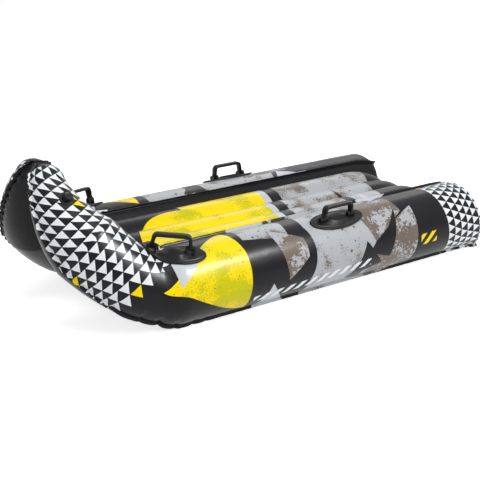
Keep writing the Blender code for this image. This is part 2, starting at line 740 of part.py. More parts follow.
def make_valve(word, place, panel):
    """Welded flange, neck with its seat bar, flap and ribbed screw cap."""
    ahead = place(FLANGE_RADIUS, 0, 0) - place(-FLANGE_RADIUS, 0, 0)
    across = place(0, FLANGE_RADIUS, 0) - place(0, -FLANGE_RADIUS, 0)
    hub = anchor(word + "_valve_axis", axes_matrix(place(0, 0, 0), ahead, ahead.cross(across)))
    seat = FLANGE_SEAT
    hole = NECK_RADIUS + NECK_CLEAR
    profile = ((hole, seat), ((FLANGE_RADIUS + hole) / 2, seat), (FLANGE_RADIUS, seat),
               (FLANGE_RADIUS, seat + FLANGE_EDGE), ((FLANGE_RADIUS + hole) / 2, seat + FLANGE_THICK),
               (hole, seat + FLANGE_THICK))
    rings = [flange_ring(place, radius, height) for radius, height in profile]
    make_object(word + "_valve_flange", loft_mesh(rings, closed=True), DARK_VINYL, 0.45)
    cutter = cylinder_mesh(hole, -NECK_DEPTH, NECK_DEPTH, VALVE_FACETS)
    combine(panel, cutter, "DIFFERENCE", hub)

    collar_top = COLLAR_LOW + COLLAR_HEIGHT
    spigot_top = collar_top + SPIGOT_HEIGHT
    seat_top = -NECK_DEPTH + SEAT_THICK
    body = make_object(word + "_valve_body", turned_mesh((
        (SEAT_RADIUS, -NECK_DEPTH), (NECK_RADIUS, -NECK_DEPTH), (NECK_RADIUS, COLLAR_LOW),
        (COLLAR_RADIUS, COLLAR_LOW), (COLLAR_RADIUS, collar_top), (SPIGOT_RADIUS, collar_top),
        (SPIGOT_RADIUS, spigot_top), (BORE_RADIUS, spigot_top), (BORE_RADIUS, seat_top),
        (SEAT_RADIUS, seat_top)), VALVE_FACETS), MOULDED_BLACK, 0.4)
    body.parent = hub
    reach = (SEAT_RADIUS + BORE_RADIUS) / 2
    bar = box_mesh((-reach, -BAR_HALF_WIDTH, -NECK_DEPTH + GAP / 2),
                   (reach, BAR_HALF_WIDTH, seat_top - GAP / 2))
    combine(body, bar, "UNION", hub)
    stem_hole = cylinder_mesh(STEM_HOLE_RADIUS, -NECK_DEPTH - OVERRUN, seat_top + OVERRUN,
                              STEM_FACETS)
    combine(body, stem_hole, "DIFFERENCE", hub)

    flap_top = -NECK_DEPTH - GAP
    knob_low = seat_top + GAP
    flap = make_object(word + "_valve_flap", turned_mesh((
        (0, flap_top - FLAP_THICK), (FLAP_RADIUS, flap_top - FLAP_THICK), (FLAP_RADIUS, flap_top),
        (STEM_RADIUS, flap_top), (STEM_RADIUS, knob_low), (KNOB_RADIUS, knob_low),
        (STEM_RADIUS, knob_low + KNOB_HEIGHT), (0, knob_low + KNOB_HEIGHT)), STEM_FACETS),
        RUBBER_GREY, 0.6)
    flap.parent = hub

    seal_low = spigot_top + GAP
    seal_top = seal_low + SEAL_THICK
    seal = make_object(word + "_valve_cap_seal", turned_mesh((
        (BORE_RADIUS, seal_low), (SPIGOT_RADIUS, seal_low), (SPIGOT_RADIUS, seal_top),
        (BORE_RADIUS, seal_top)), VALVE_FACETS), RUBBER_GREY, 0.6)
    seal.parent = hub
    cap = make_object(word + "_valve_cap", cap_mesh(collar_top + GAP, seal_top + GAP),
                      MOULDED_BLACK, 0.4)
    cap.parent = hub


def cap_mesh(low, roof):
    """A ribbed cup over the spigot and its seal."""
    top = low + CAP_HEIGHT
    bore = SPIGOT_RADIUS + GAP
    count = 2 * CAP_RIBS

    def ring(radius, height, rib):
        points = []
        for step in range(count):
            turn = 2 * math.pi * step / count
            reach = radius - (rib if step % 2 else 0)
            points.append(Vector((reach * math.cos(turn), reach * math.sin(turn), height)))
        return points

    rings = [[Vector((0, 0, roof))], ring(bore, roof, 0), ring(bore, low, 0),
             ring(CAP_RADIUS, low, CAP_RIB), ring(CAP_RADIUS, top - CAP_EDGE, CAP_RIB),
             ring(CAP_RADIUS - CAP_EDGE, top, 0), [Vector((0, 0, top))]]
    return loft_mesh(rings)


def make_tube_valve(word, side, panel):
    s = HEEL_S + VALVE_S

    def place(u, v, height):
        return skin_point(side, s, VALVE_ANGLE, u, v, height)

    make_valve(word, place, panel)


def make_floor_valve(panel):
    groove = CHANNEL_WIDTH / 2
    bow = (groove ** 2 + CROWN_RISE ** 2) / (2 * CROWN_RISE)

    def crown(x):
        return FLOOR_MID_Z + GAP / 2 + (WEB_HALF_HEIGHT + CROWN_RISE) * floor_fill(x)

    def place(u, v, height):
        x = FLOOR_VALVE_X + u
        turn = v / bow
        slope = (crown(x + OVERRUN) - crown(x - OVERRUN)) / (2 * OVERRUN)
        out = Vector((-slope, math.sin(turn), math.cos(turn))).normalized()
        skin = Vector((x, bow * math.sin(turn), crown(x) - bow + bow * math.cos(turn)))
        return skin + out * height

    make_valve("floor", place, panel)


def main():
    for obj in list(bpy.data.objects):
        bpy.data.objects.remove(obj, do_unlink=True)
    for word, side in SIDES.items():
        printed = make_tube(word, side)
        make_tube_valve(word + "_tube", side, printed)
        make_handle(word + "_rear", side, REAR_HANDLE_X, REAR_HANDLE_ANGLE, 0, PIVOT_HEIGHT,
                    REAR_GRIP_LEAN)
        make_handle(word + "_front", side, FRONT_HANDLE_X, FRONT_HANDLE_ANGLE, FRONT_HANDLE_SKEW,
                    PIVOT_HEIGHT + HEEL_PIVOT_RISE, FRONT_GRIP_LEAN)
    make_floor_valve(make_floor())
    bpy.context.view_layer.update()


main()
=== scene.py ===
"""Looks of a long inflatable snow sled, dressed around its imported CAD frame.

Metres, in the frame's axes: the nose points to -X, the sled's left is -Y, the ground is z = 0.
Along a tube, s is the distance from its rear weld. Around it, turn goes from 0 at the inner weld to
pi at the outer one, over the face that a sheet makes: 1 is the printed side, -1 the plain side.
"""

import math

import bmesh
import bpy
import numpy as np
from mathutils import Matrix, Vector


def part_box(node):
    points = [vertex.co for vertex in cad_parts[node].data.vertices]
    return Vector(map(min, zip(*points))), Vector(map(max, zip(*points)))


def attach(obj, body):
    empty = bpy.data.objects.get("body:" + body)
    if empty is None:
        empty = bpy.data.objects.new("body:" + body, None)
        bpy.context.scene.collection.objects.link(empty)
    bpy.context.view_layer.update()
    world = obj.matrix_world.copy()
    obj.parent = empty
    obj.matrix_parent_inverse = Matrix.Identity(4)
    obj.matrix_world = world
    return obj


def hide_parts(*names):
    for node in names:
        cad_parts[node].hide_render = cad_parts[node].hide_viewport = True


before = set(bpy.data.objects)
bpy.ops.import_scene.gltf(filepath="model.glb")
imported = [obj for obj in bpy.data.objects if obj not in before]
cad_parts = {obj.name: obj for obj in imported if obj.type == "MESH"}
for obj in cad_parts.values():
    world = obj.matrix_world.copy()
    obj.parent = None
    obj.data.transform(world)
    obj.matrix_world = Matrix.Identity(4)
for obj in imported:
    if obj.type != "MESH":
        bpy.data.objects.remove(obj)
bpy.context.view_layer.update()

SIDES = {"left": -1, "right": 1}

# Welded sheet
SHEET = 0.0008                # what the eye sees at a cut edge
SEAM_HALF = 0.0013            # weld plane to the outer face of a lip
LIP = 0.008                   # width of a weld flange

# Side tubes, cut flat and blown up
TUBE_RADIUS = 0.100
HALF_TRACK = 0.213
GROUND_PRESS = 0.0025         # how far a tube's round is pressed flat on the ground
REAR_X, HEEL_X = 0.680, -0.380
REAR_ROUND, REAR_BLUNT, REAR_FLARE = 0.040, 3.4, 0.08
REAR_TURN, REAR_TURN_LENGTH = math.radians(8), 0.10
REAR_SLANT, REAR_NARROW = 0.030, 0.04
SEAM_LEAN = math.radians(26)
NOSE_TILT, NOSE_TURN = math.radians(33), math.radians(8)
HEEL_LENGTH, SHANK_LENGTH, TOE_LENGTH = 0.133, 0.1265, 0.182
NOSE_BENDS = ((HEEL_LENGTH, math.radians(47)), (SHANK_LENGTH, math.radians(9.5)),
              (TOE_LENGTH, math.radians(38.5)))
HEEL_RADIUS, SHANK_RADIUS, TIP_RADIUS = 0.0865, 0.093, 0.0455
TIP_NARROW = 0.62
HEEL_S = REAR_X - HEEL_X
TIP_S = HEEL_S + HEEL_LENGTH + SHANK_LENGTH + TOE_LENGTH
TUBE_STEP = 0.005             # between rows of the mesh along a tube
GATHER_STEP = 0.0022          # the same where the welds are gathered
GATHER_STEP_S = HEEL_S - 0.10
TUBE_TURNS = 72               # around half a tube
WELD_CROWDING = 0.30          # draws those closer together at the welds
END_ROWS = 14

# Floor of three blown channels
FLOOR_FRONT_X, FLOOR_REAR_X = -0.496, 0.610
FLOOR_ROUND, FLOOR_BLUNT = 0.130, 2.2
FLOOR_MID_Z = 0.126
CHANNEL_WIDTH = 0.0917
WEB_HALF_HEIGHT = 0.030
CROWN_RISE, OUTER_CROWN_RISE, CROWN_POWER = 0.018, 0.019, 0.75
SHOULDER_Z, KNEE_Z = 0.167, 0.099       # where the top and the bottom sheet leave the tubes
FLOOR_SEAT = 0.0012           # clear air to the tubes, less than shows
FLAT_INSET = 0.004            # of the welded ends from the tubes' sides
FLOOR_END_ROWS, FLOOR_ROWS = 24, 150
MIDDLE_POINTS, OUTER_POINTS, SIDE_POINTS = 17, 31, 9    # across half a row
GAP_STATIONS = 61             # along the nose, where the way to the floor is measured
RIM_PUCKER_PITCH, RIM_PUCKER, RIM_PUCKER_REACH = 0.0235, 0.0022, 0.030
RIM_PUCKER_SHIFT, RIM_PUCKER_POWER = 0.7, 1.5
RIM_PUCKER_GROWTH = 3         # full depth where the floor is a third blown up
CREASE_PITCH, CREASE, CREASE_REACH = 0.031, 0.0009, 0.006
CREASE_DRIFT, CREASE_DRIFT_RATE = 0.8, 17       # radians, and radians for each metre
WEB_SWAY, WEB_SWAY_RATE = 0.0004, 60            # metres, and radians for each metre
WEB_COLUMNS, WEB_ROWS = 90, 9

# Handles: middle, angle around the tube, skew, rise of the pivot, lean of the grip
HANDLES = {"rear": (0.1295, math.radians(50), 0.0, 0.0108, math.radians(20)),
           "front": (-0.402, math.radians(42), math.radians(18), 0.0178, 0.0)}
PAD_LENGTH, PAD_WIDTH = 0.182, 0.069
PAD_SEAT, PAD_PLATE, DOME_RISE = 0.0010, 0.0030, 0.006
DOME_LENGTH, DOME_WIDTH = 0.066, 0.042
DOME_FLARE = 0.005            # how far its foot spreads and its roof draws in
PAD_POINTS, UNDER_RINGS, DOME_RINGS = 96, 6, 8
ROOF_SHARES = (0.55, 0.3)     # of the dome's size, for the rings on its flat roof
PAD_TOP, BEAD = PAD_SEAT + PAD_PLATE, 0.0006
PAD_RIM = ((0.0, 0.0011), (0.0, 0.0022), (0.0004, 0.0032), (0.0014, 0.0044), (0.0026, 0.0050),
           (0.0038, 0.0048), (0.0048, 0.0042), (0.0058, PAD_TOP), (0.0100, PAD_TOP),
           (0.0112, PAD_TOP + BEAD), (0.0126, PAD_TOP + BEAD), (0.0138, PAD_TOP))
FOOT_SPAN, FOOT_LENGTH, TOP_SPAN = 0.111, 0.014, 0.097
FOOT_PLACE = (FOOT_SPAN - FOOT_LENGTH) / 2
GRIP_HEIGHT, GRIP_BAR, GRIP_WIDTH, GRIP_CORNER = 0.037, 0.0085, 0.018, 0.010
KNUCKLE_RADIUS = 0.0065
GRIP_TOP = GRIP_HEIGHT - GRIP_BAR / 2
GRIP_EDGE = 0.0024            # rounding along the strip
LEG_STEPS, CORNER_STEPS, BAR_STEPS = 8, 12, 6   # up a leg, round a corner, along half the bar
EDGE_STEPS, KNUCKLE_POINTS = 4, 32
FLARE_SHARE, WAIST_SHARE = 0.45, 0.60   # of the height, where a leg thickens and narrows
FLARE_POWER = 1.5
LUG_LENGTH, LUG_HALF_WIDTH = 0.0055, 0.0062
EAR_SPREAD, EAR_NECK, EAR_SINK, EAR_END = 1.25, 0.6, 0.4, 0.90
EAR_TURNS = 16                # faces over an ear's round head
SOFT_EDGE = 0.0006            # rounding of small moulded edges
CRISP_ANGLE = math.radians(40)
FIT = 0.0003
FLOOR_HALVINGS, LAID_HALVINGS = 20, 24      # of a length that is searched for
MOST_STRETCH = 3              # of s over the way on the skin, which is shorter inside a bend

# Valves
VALVE_S, VALVE_ANGLE = HEEL_S + 0.375, math.radians(93)
FLOOR_VALVE_X = -0.414
FLANGE_RADIUS, FLANGE_HOLE = 0.019, 0.0108
CAP_RADIUS, CAP_LOW, CAP_HIGH = 0.0120, 0.0059, 0.0151
CAP_BORE = 0.0091
CAP_RIBS, RIB_DEPTH, RIB_POINTS = 24, 0.0007, 8
RING_POINTS = 64
NUDGE = 0.002                 # between the two heights that give the floor's slope
# Radius and height above the skin, from the hole's lower edge round to its upper one
FLANGE_TURNING = ((FLANGE_HOLE, 0.0007), (0.015, 0.0007), (FLANGE_RADIUS, 0.0007),
                  (FLANGE_RADIUS, 0.0014), (FLANGE_RADIUS - 0.0005, 0.0019), (0.0168, 0.0021),
                  (0.0160, 0.0018), (0.0150, 0.0021), (0.0135, 0.0024), (FLANGE_HOLE, 0.0024))
# Radius, height and depth of the ribs, from the roof of the bore out and over the top
CAP_TURNING = ((CAP_BORE, CAP_HIGH - 0.0012, 0), (CAP_BORE, CAP_LOW, 0),
               (CAP_RADIUS - 0.0003, CAP_LOW, 0), (CAP_RADIUS, CAP_LOW + 0.0004, 0),
               (CAP_RADIUS, CAP_LOW + 0.0012, 0), (CAP_RADIUS, CAP_LOW + 0.0016, RIB_DEPTH),
               (CAP_RADIUS, CAP_HIGH - 0.0020, RIB_DEPTH),
               (CAP_RADIUS - 0.0004, CAP_HIGH - 0.0008, 0.0004),
               (CAP_RADIUS - 0.0012, CAP_HIGH - 0.0001, 0), (CAP_RADIUS - 0.0022, CAP_HIGH, 0),
               (0.0082, CAP_HIGH, 0), (0.0076, CAP_HIGH - 0.0005, 0),
               (0.0040, CAP_HIGH - 0.0006, 0))

# Gathers that the curved welds pull into the flat-cut sheet
HEEL_GATHER, HORN_GATHER = 0.041, 0.019     # from one gather to the next
GATHER_TURN_S = HEEL_S + 0.13               # where the heel's pitch gives way to the horn's
CURVE_START_S, CURVE_EASE = HEEL_S - 0.09, 0.10
INNER_SHIFT = 1.7             # keeps the inner weld's gathers out of step with the outer weld's
STRAIGHT_SCALLOP, CURVED_SCALLOP, INNER_SCALLOP_SHARE = 0.0004, 0.0048, 1 / 3
HEEL_SCALLOP_REACH, HORN_SCALLOP_REACH = 0.030, 0.012
STRAIGHT_PUCKER = 0.0004
INNER_PUCKER, OUTER_PUCKER = (0.0016, 0.014), (0.0044, 0.026)   # depth and reach at the heel
HORN_DEPTH_SHARE, HORN_REACH_SHARE = 0.5, 0.45                  # of those, up the horn
GROOVE_HALF, GROOVE_SPREAD = 0.0032, 0.06   # half width at the weld, and how it opens from there
SIDEWAYS_SHARE = 0.4          # of a pucker that also draws the skin towards the weld
SHALLOW = 0.03                # half depth under which puckers die away
REAR_FOLD, REAR_FOLD_REACH = 0.0036, 0.030
REAR_FOLD_POWER, REAR_FOLD_RUN_OUT = 2.2, 0.3       # how sharp they are, and how soon they end
REAR_SPOKES, TIP_SPOKES = 7.0, 5.0                  # radians of fold for each radian of turn
SPOKE_SHIFT, SPOKE_DRIFT = 0.8, 0.4
TIP_FOLD, TIP_FOLD_START_S, TIP_FOLD_EASE = 0.0016, TIP_S - 0.02, 0.05
SWELL, STRAIGHT_SWELL = 0.0006, 0.4     # slack of the whole skin, and its share on the straight
SWELL_WAVES = ((37.0, 3.0), (9.0, 2.0))     # radians for each metre along, and each radian around
LIP_WAVE, LIP_WAVE_START_S, LIP_WAVE_EASE = 0.0009, HEEL_S - 0.10, 0.15
UNEVEN_STEP, PUCKER_STEP = 2.39, 1.7        # radians, so that no gather is like its neighbours
SCALLOP_MEAN, PUCKER_LEAST = 0.55, 0.45     # shares of the deepest one
GROOVE_POWER, PUCKER_FADE_POWER = 1.5, 1.7
GATHER_DRIFTS = ((0.22, 23.0), (0.12, 57.0))    # in gathers, and radians for each metre

# Print, laid out flat: metres along the sled, and metres around a tube from its inner weld
BAR_PITCH, BAR_SLANT, BAR_GAP = 0.036, 0.9, 0.26    # slanted bars, and the bare share each way
TRIANGLE_FILL = 0.94          # of half a cell, so that each triangle stands clear of the next
LONE_LEVEL = 0.975            # one triangle in forty is yellow
NOSE_BASE = 0.033             # triangles of the nose
NOSE_SLANT, NOSE_FAN = 1.575, 2.5
NOSE_DROP, NOSE_DROOP = 0.775, 1.25
NOSE_STAGGER = 0.25
NOSE_UPPER = 0.115            # nearer the inner weld than this, the nose has one more column
TIP_X = -0.855                # ahead of this, the tip is bare black
REAR_BASE = 0.0265            # triangles of the rear band
BAND_X, BAND_BOW = 0.503, 0.4
PAST_ENDS, PAST_EDGES = (-0.90, 0.80), (-0.1, 0.4)      # well past the sheet itself
BAND_FIELD_X = 0.4            # ahead of the rear band, wherever it is bowed to


# Shape of the tubes, as formulas over whole arrays

def ease(start, end, share):
    """A soft step from start to end as share goes from 0 to 1."""
    return start + (end - start) * (1 - np.cos(np.pi * np.clip(share, 0, 1))) / 2


def tube_frame(side, s):
    """Centre, seam axis and print axis of a tube at distances s from its rear seam."""
    s = np.asarray(s, dtype=float)
    x = REAR_X - np.minimum(s, HEEL_S)
    rise, heading = np.zeros_like(x), np.zeros_like(x)
    left = s - HEEL_S
    # Each bend is an arc of its own length, and what is left of s goes on to the next.
    for length, bend in NOSE_BENDS:
        turn = bend * np.clip(left, 0, length) / length
        radius = length / bend
        x = x - radius * (np.sin(heading + turn) - np.sin(heading))
        rise = rise + radius * (np.cos(heading) - np.cos(heading + turn))
        heading = heading + turn
        left = left - length
    x = x - np.clip(left, 0, None) * np.cos(heading)
    rise = rise + np.clip(left, 0, None) * np.sin(heading)
    up = np.array((0, -side * math.sin(NOSE_TILT), math.cos(NOSE_TILT)))
    out = np.array((0, side * math.cos(NOSE_TILT), math.sin(NOSE_TILT)))
    ahead = np.array((1.0, 0, 0))
    across = np.sin(heading)[..., None] * ahead + np.cos(heading)[..., None] * up
    # The seam leans on the straight, turns up the nose, and turns once more at the rear end.
    share = np.clip((s - HEEL_S) / (HEEL_LENGTH + SHANK_LENGTH), 0, 1)
    turn = (NOSE_TILT - SEAM_LEAN) * (1 - share) - NOSE_TURN * share
    turn = turn - REAR_TURN * (1 - np.clip(s / REAR_TURN_LENGTH, 0, 1))
    seam_axis = across * np.cos(turn)[..., None] + out * np.sin(turn)[..., None]
    print_axis = out * np.cos(turn)[..., None] - across * np.sin(turn)[..., None]
    base = np.array((0, side * HALF_TRACK, TUBE_RADIUS - GROUND_PRESS))
    centre = x[..., None] * ahead + base + rise[..., None] * up
    return centre, seam_axis, print_axis


def tube_radius(s):
    """The round of a blown tube: slimmer in the heel and towards the tip."""
    run = np.asarray(s, dtype=float) - HEEL_S
    middle, shank_end = HEEL_LENGTH / 2, HEEL_LENGTH + SHANK_LENGTH
    toe = SHANK_RADIUS + (TIP_RADIUS - SHANK_RADIUS) * np.clip((run - shank_end) / TOE_LENGTH, 0, 1)
    heel = ease(TUBE_RADIUS, HEEL_RADIUS, run / middle)
    shank = ease(HEEL_RADIUS, SHANK_RADIUS, (run - middle) / (shank_end - middle))
    return np.where(run < middle, heel, np.where(run < shank_end, shank, toe))


def cut_widths(s):
    """Half widths to the inner and outer seam, and half depth, rounded off at both ends."""
    base = tube_radius(s)
    end = np.clip(1 - s / REAR_ROUND, 0, 1)
    tip = np.clip((s - TIP_S) / TIP_RADIUS, 0, 1)
    narrow = 1 - TIP_NARROW * tip ** 2
    depth = base * (1 - end ** REAR_BLUNT) ** (1 / REAR_BLUNT) * np.sqrt(1 - tip ** 2)
    inner = base * narrow * (1 - REAR_NARROW * end ** 2)
    return inner, base * narrow * (1 + REAR_FLARE * end), depth


def gathers(s, shift):
    """Counts the gathers along a weld: wide ones at the heel, close ones up the horn."""
    closer = np.maximum(s - GATHER_TURN_S, 0) * (1 / HORN_GATHER - 1 / HEEL_GATHER)
    # The drift keeps them off an even beat.
    drift = sum(part * np.sin(s * rate + shift) for part, rate in GATHER_DRIFTS)
    return s / HEEL_GATHER + closer + drift


def weld_curve(s):
    """0 where the welds run straight, 1 where they curve."""
    return np.clip((s - CURVE_START_S) / CURVE_EASE, 0, 1)


def scallop(s, shift):
    """How far a curved weld is drawn in between one gather and the next."""
    phase = gathers(s, shift)
    uneven = SCALLOP_MEAN + (1 - SCALLOP_MEAN) * np.sin(np.round(phase) * UNEVEN_STEP + shift)
    deepest = STRAIGHT_SCALLOP + CURVED_SCALLOP * weld_curve(s) * uneven
    return deepest * (1 - np.abs(np.sin(np.pi * phase)))


def puckers(s, turn, face):
    """How far the skin is drawn in: by gathers along the welds, by folds at both ends, by slack."""
    radius = tube_radius(s)
    curved = weld_curve(s)
    on_horn = s > GATHER_TURN_S
    pitch = np.where(on_horn, HORN_GATHER, HEEL_GATHER)
    drawn = np.zeros(np.broadcast(s, turn).shape)
    for edge, (depth, reach), shift in ((0.0, INNER_PUCKER, INNER_SHIFT),
                                        (np.pi, OUTER_PUCKER, 0.0)):
        away = np.abs(turn - edge) * radius
        phase = gathers(s, shift)
        number = np.round(phase)
        half_groove = GROOVE_HALF + GROOVE_SPREAD * away
        groove = np.exp(-(np.abs(phase - number) * pitch / half_groove) ** GROOVE_POWER)
        uneven = np.abs(np.sin(number * PUCKER_STEP + shift + face))
        uneven = PUCKER_LEAST + (1 - PUCKER_LEAST) * uneven
        depth = depth * np.where(on_horn, HORN_DEPTH_SHARE, 1.0)
        reach = reach * np.where(on_horn, HORN_REACH_SHARE, 1.0)
        fade = np.exp(-(away / (reach * (0.5 + uneven))) ** PUCKER_FADE_POWER)
        drawn += (STRAIGHT_PUCKER + depth * curved) * uneven * groove * fade
    # Folds that spread like spokes from the closed rear end
    rear = np.exp(-np.clip(s, 0, None) / REAR_FOLD_REACH)
    spoke = turn * REAR_SPOKES + SPOKE_SHIFT * face + SPOKE_DRIFT * np.sin(turn * TIP_SPOKES)
    folds = (1 - np.abs(np.sin(spoke))) ** REAR_FOLD_POWER
    drawn += REAR_FOLD * folds * rear * np.sin(turn) ** REAR_FOLD_RUN_OUT
    # Shallower ones at the tip
    tip = np.clip((s - TIP_FOLD_START_S) / TIP_FOLD_EASE, 0, 1)
    drawn += TIP_FOLD * tip * (1 - np.abs(np.sin(turn * TIP_SPOKES + SPOKE_SHIFT))) ** 2
    # Broad, uneven slack over the whole skin
    (along, around), (broad_along, broad_around) = SWELL_WAVES
    soft = np.sin(s * along + around * turn) * np.sin(turn * broad_around + s * broad_along + face)
    return drawn + SWELL * (STRAIGHT_SWELL + curved) * soft


def tube_stations():
    """Where a tube's mesh has its rows, from the edge of one end's lip to that of the other."""
    rows = [REAR_ROUND * (1 - math.cos(math.pi / 2 * k / END_ROWS) ** (2 / REAR_BLUNT))
            for k in range(END_ROWS)]
    for start, end, step in ((REAR_ROUND, GATHER_STEP_S, TUBE_STEP),
                             (GATHER_STEP_S, TIP_S, GATHER_STEP)):
        count = round((end - start) / step)
        rows += [start + (end - start) * k / count for k in range(count)]
    rows += [TIP_S + TIP_RADIUS * math.sin(math.pi / 2 * k / END_ROWS)
             for k in range(END_ROWS + 1)]
    return np.array([rows[0] - LIP, rows[0] - LIP / 2] + rows
                    + [rows[-1] + LIP / 2, rows[-1] + LIP])


def tube_sheet(side, face):
    """Outer skin of one welded sheet, and where each point lies on the flat print."""
    s = tube_stations()[:, None]
    share = np.arange(TUBE_TURNS + 1) / TUBE_TURNS
    turn = (np.pi * share - WELD_CROWDING * np.sin(2 * np.pi * share))[None, :]
    inside = np.clip(s, 0, TIP_S + TIP_RADIUS)
    inner, outer, depth = cut_widths(inside)
    depth = np.where((s < 0) | (s > TIP_S + TIP_RADIUS), 0, depth)
    gather = puckers(inside, turn, face)
    width = np.where(turn < np.pi / 2, inner, outer) - gather * SIDEWAYS_SHARE
    reach = np.where(inside > GATHER_TURN_S, HORN_SCALLOP_REACH, HEEL_SCALLOP_REACH)
    near_weld = reach / tube_radius(inside)
    near_inner = INNER_SCALLOP_SHARE * np.exp(-(turn / near_weld) ** 2)
    near_outer = np.exp(-((np.pi - turn) / near_weld) ** 2)
    across = (width * np.cos(turn) - scallop(inside, INNER_SHIFT) * near_inner
              + scallop(inside, 0.0) * near_outer)
    bulge = np.maximum(depth - SEAM_HALF, 0) * np.sin(turn)
    bulge = bulge - gather * np.sin(turn) * np.minimum(depth / SHALLOW, 1)
    lip = np.array((LIP, LIP / 2))
    across = np.hstack((across[:, :1] + lip, across, across[:, -1:] - lip[::-1]))
    flat = np.zeros((len(s), len(lip)))
    bulge = np.hstack((flat, np.maximum(bulge, 0), flat))
    wave = LIP_WAVE * np.sin(2 * np.pi * gathers(inside, 0.0))
    wave = wave * np.clip((s - LIP_WAVE_START_S) / LIP_WAVE_EASE, 0, 1) * (s < TIP_S)
    lift = np.zeros_like(bulge)
    lift[:, :2] += wave
    lift[:, -2:] += wave
    centre, seam_axis, print_axis = tube_frame(side, s[:, 0])
    points = (centre[:, None, :] + seam_axis[:, None, :] * across[..., None]
              + print_axis[:, None, :] * (face * (SEAM_HALF + bulge) + lift)[..., None])
    # The rear end is cut on a slant, the skin lies flat on the ground, and the two tips meet over
    # the middle without crossing it.
    slant = REAR_SLANT * (1 - np.clip(s / REAR_TURN_LENGTH, 0, 1))
    points[..., 0] -= slant * np.maximum(1 + across / TUBE_RADIUS, 0) / 2
    points[..., 2] = np.maximum(points[..., 2], 0)
    over_middle = points[..., 1] * side < FIT / 2
    points[..., 1][over_middle] = side * FIT / 2
    return points, tube_print_place(points, s, turn)


def tube_print_place(points, s, turn):
    """Metres along the flat sheet, metres around it, and 1 for the dot products' offset."""
    inside = np.clip(s, 0, TIP_S + TIP_RADIUS)
    around = turn * tube_radius(inside)
    along = np.broadcast_to(REAR_X - s, around.shape).copy()
    # Over the closed rear end, the way is measured on the skin itself.
    ends = np.flatnonzero(inside[:, 0] <= REAR_ROUND)
    for row in ends[-2::-1]:
        step = points[row, 2:-2] - points[row + 1, 2:-2]
        along[row] = along[row + 1] + np.linalg.norm(step, axis=-1)
        chord = np.linalg.norm(np.diff(points[row, 2:-2], axis=0), axis=-1)
        walked = np.concatenate(([0], np.cumsum(chord)))
        around[row] = walked - walked[TUBE_TURNS // 2] + np.pi / 2 * TUBE_RADIUS
    along = np.hstack((along[:, :1], along[:, :1], along, along[:, -1:], along[:, -1:]))
    around = np.hstack((around[:, :1] - LIP, around[:, :1] - LIP / 2, around,
                        around[:, -1:] + LIP / 2, around[:, -1:] + LIP))
    return np.stack((along, around, np.ones_like(around)), axis=-1)


# Shape of the floor

def nearest_gap(points, side):
    """Distance from points to the round of a tube."""
    s = np.linspace(HEEL_S, TIP_S, GAP_STATIONS)
    centre, _, _ = tube_frame(side, s)
    reach = np.linalg.norm(points[..., None, :] - centre, axis=-1) - tube_radius(s)
    best = reach.min(axis=-1)
    straight = np.hypot(points[..., 1] - side * HALF_TRACK,
                        points[..., 2] - TUBE_RADIUS + GROUND_PRESS) - TUBE_RADIUS
    return np.where(points[..., 0] > HEEL_X, np.minimum(best, straight), best)


def tube_side_y(z):
    """How far out the floor may go at a height, to lie against the tubes."""
    reach = TUBE_RADIUS + FLOOR_SEAT
    return HALF_TRACK - np.sqrt(reach ** 2 - (z - TUBE_RADIUS + GROUND_PRESS) ** 2)


def floor_section(top):
    """Half of the floor's section, from the middle out: widths and heights off mid height."""
    groove = CHANNEL_WIDTH / 2
    share = np.linspace(0, 1, MIDDLE_POINTS)
    middle = np.clip(np.cos(np.pi / 2 * share), 0, 1) ** CROWN_POWER
    widths = [groove * share]
    heights = [WEB_HALF_HEIGHT + CROWN_RISE * middle]
    edge_z = SHOULDER_Z if top else KNEE_Z
    edge_y = float(tube_side_y(edge_z))
    edge_height = abs(edge_z - FLOOR_MID_Z)
    share = np.linspace(0, 1, OUTER_POINTS)[1:]
    crown = np.clip(np.sin(np.pi * share), 0, 1) ** CROWN_POWER
    widths.append(groove + (edge_y - groove) * share)
    heights.append(WEB_HALF_HEIGHT + (edge_height - WEB_HALF_HEIGHT) * share
                   + OUTER_CROWN_RISE * crown)
    share = np.linspace(0, 1, SIDE_POINTS)[1:]
    drop = edge_height * (1 - share)
    sign = 1 if top else -1
    widths.append(tube_side_y(FLOOR_MID_Z + sign * drop))
    heights.append(drop)
    return np.concatenate(widths), np.concatenate(heights)


def floor_fill(x):
    """How far the floor is blown up: 0 at its welded ends, 1 between them."""
    reach = np.minimum(x - FLOOR_FRONT_X, FLOOR_REAR_X - x)
    share = 1 - np.clip(reach / FLOOR_ROUND, 0, 1)
    return (1 - share ** FLOOR_BLUNT) ** (1 / FLOOR_BLUNT)


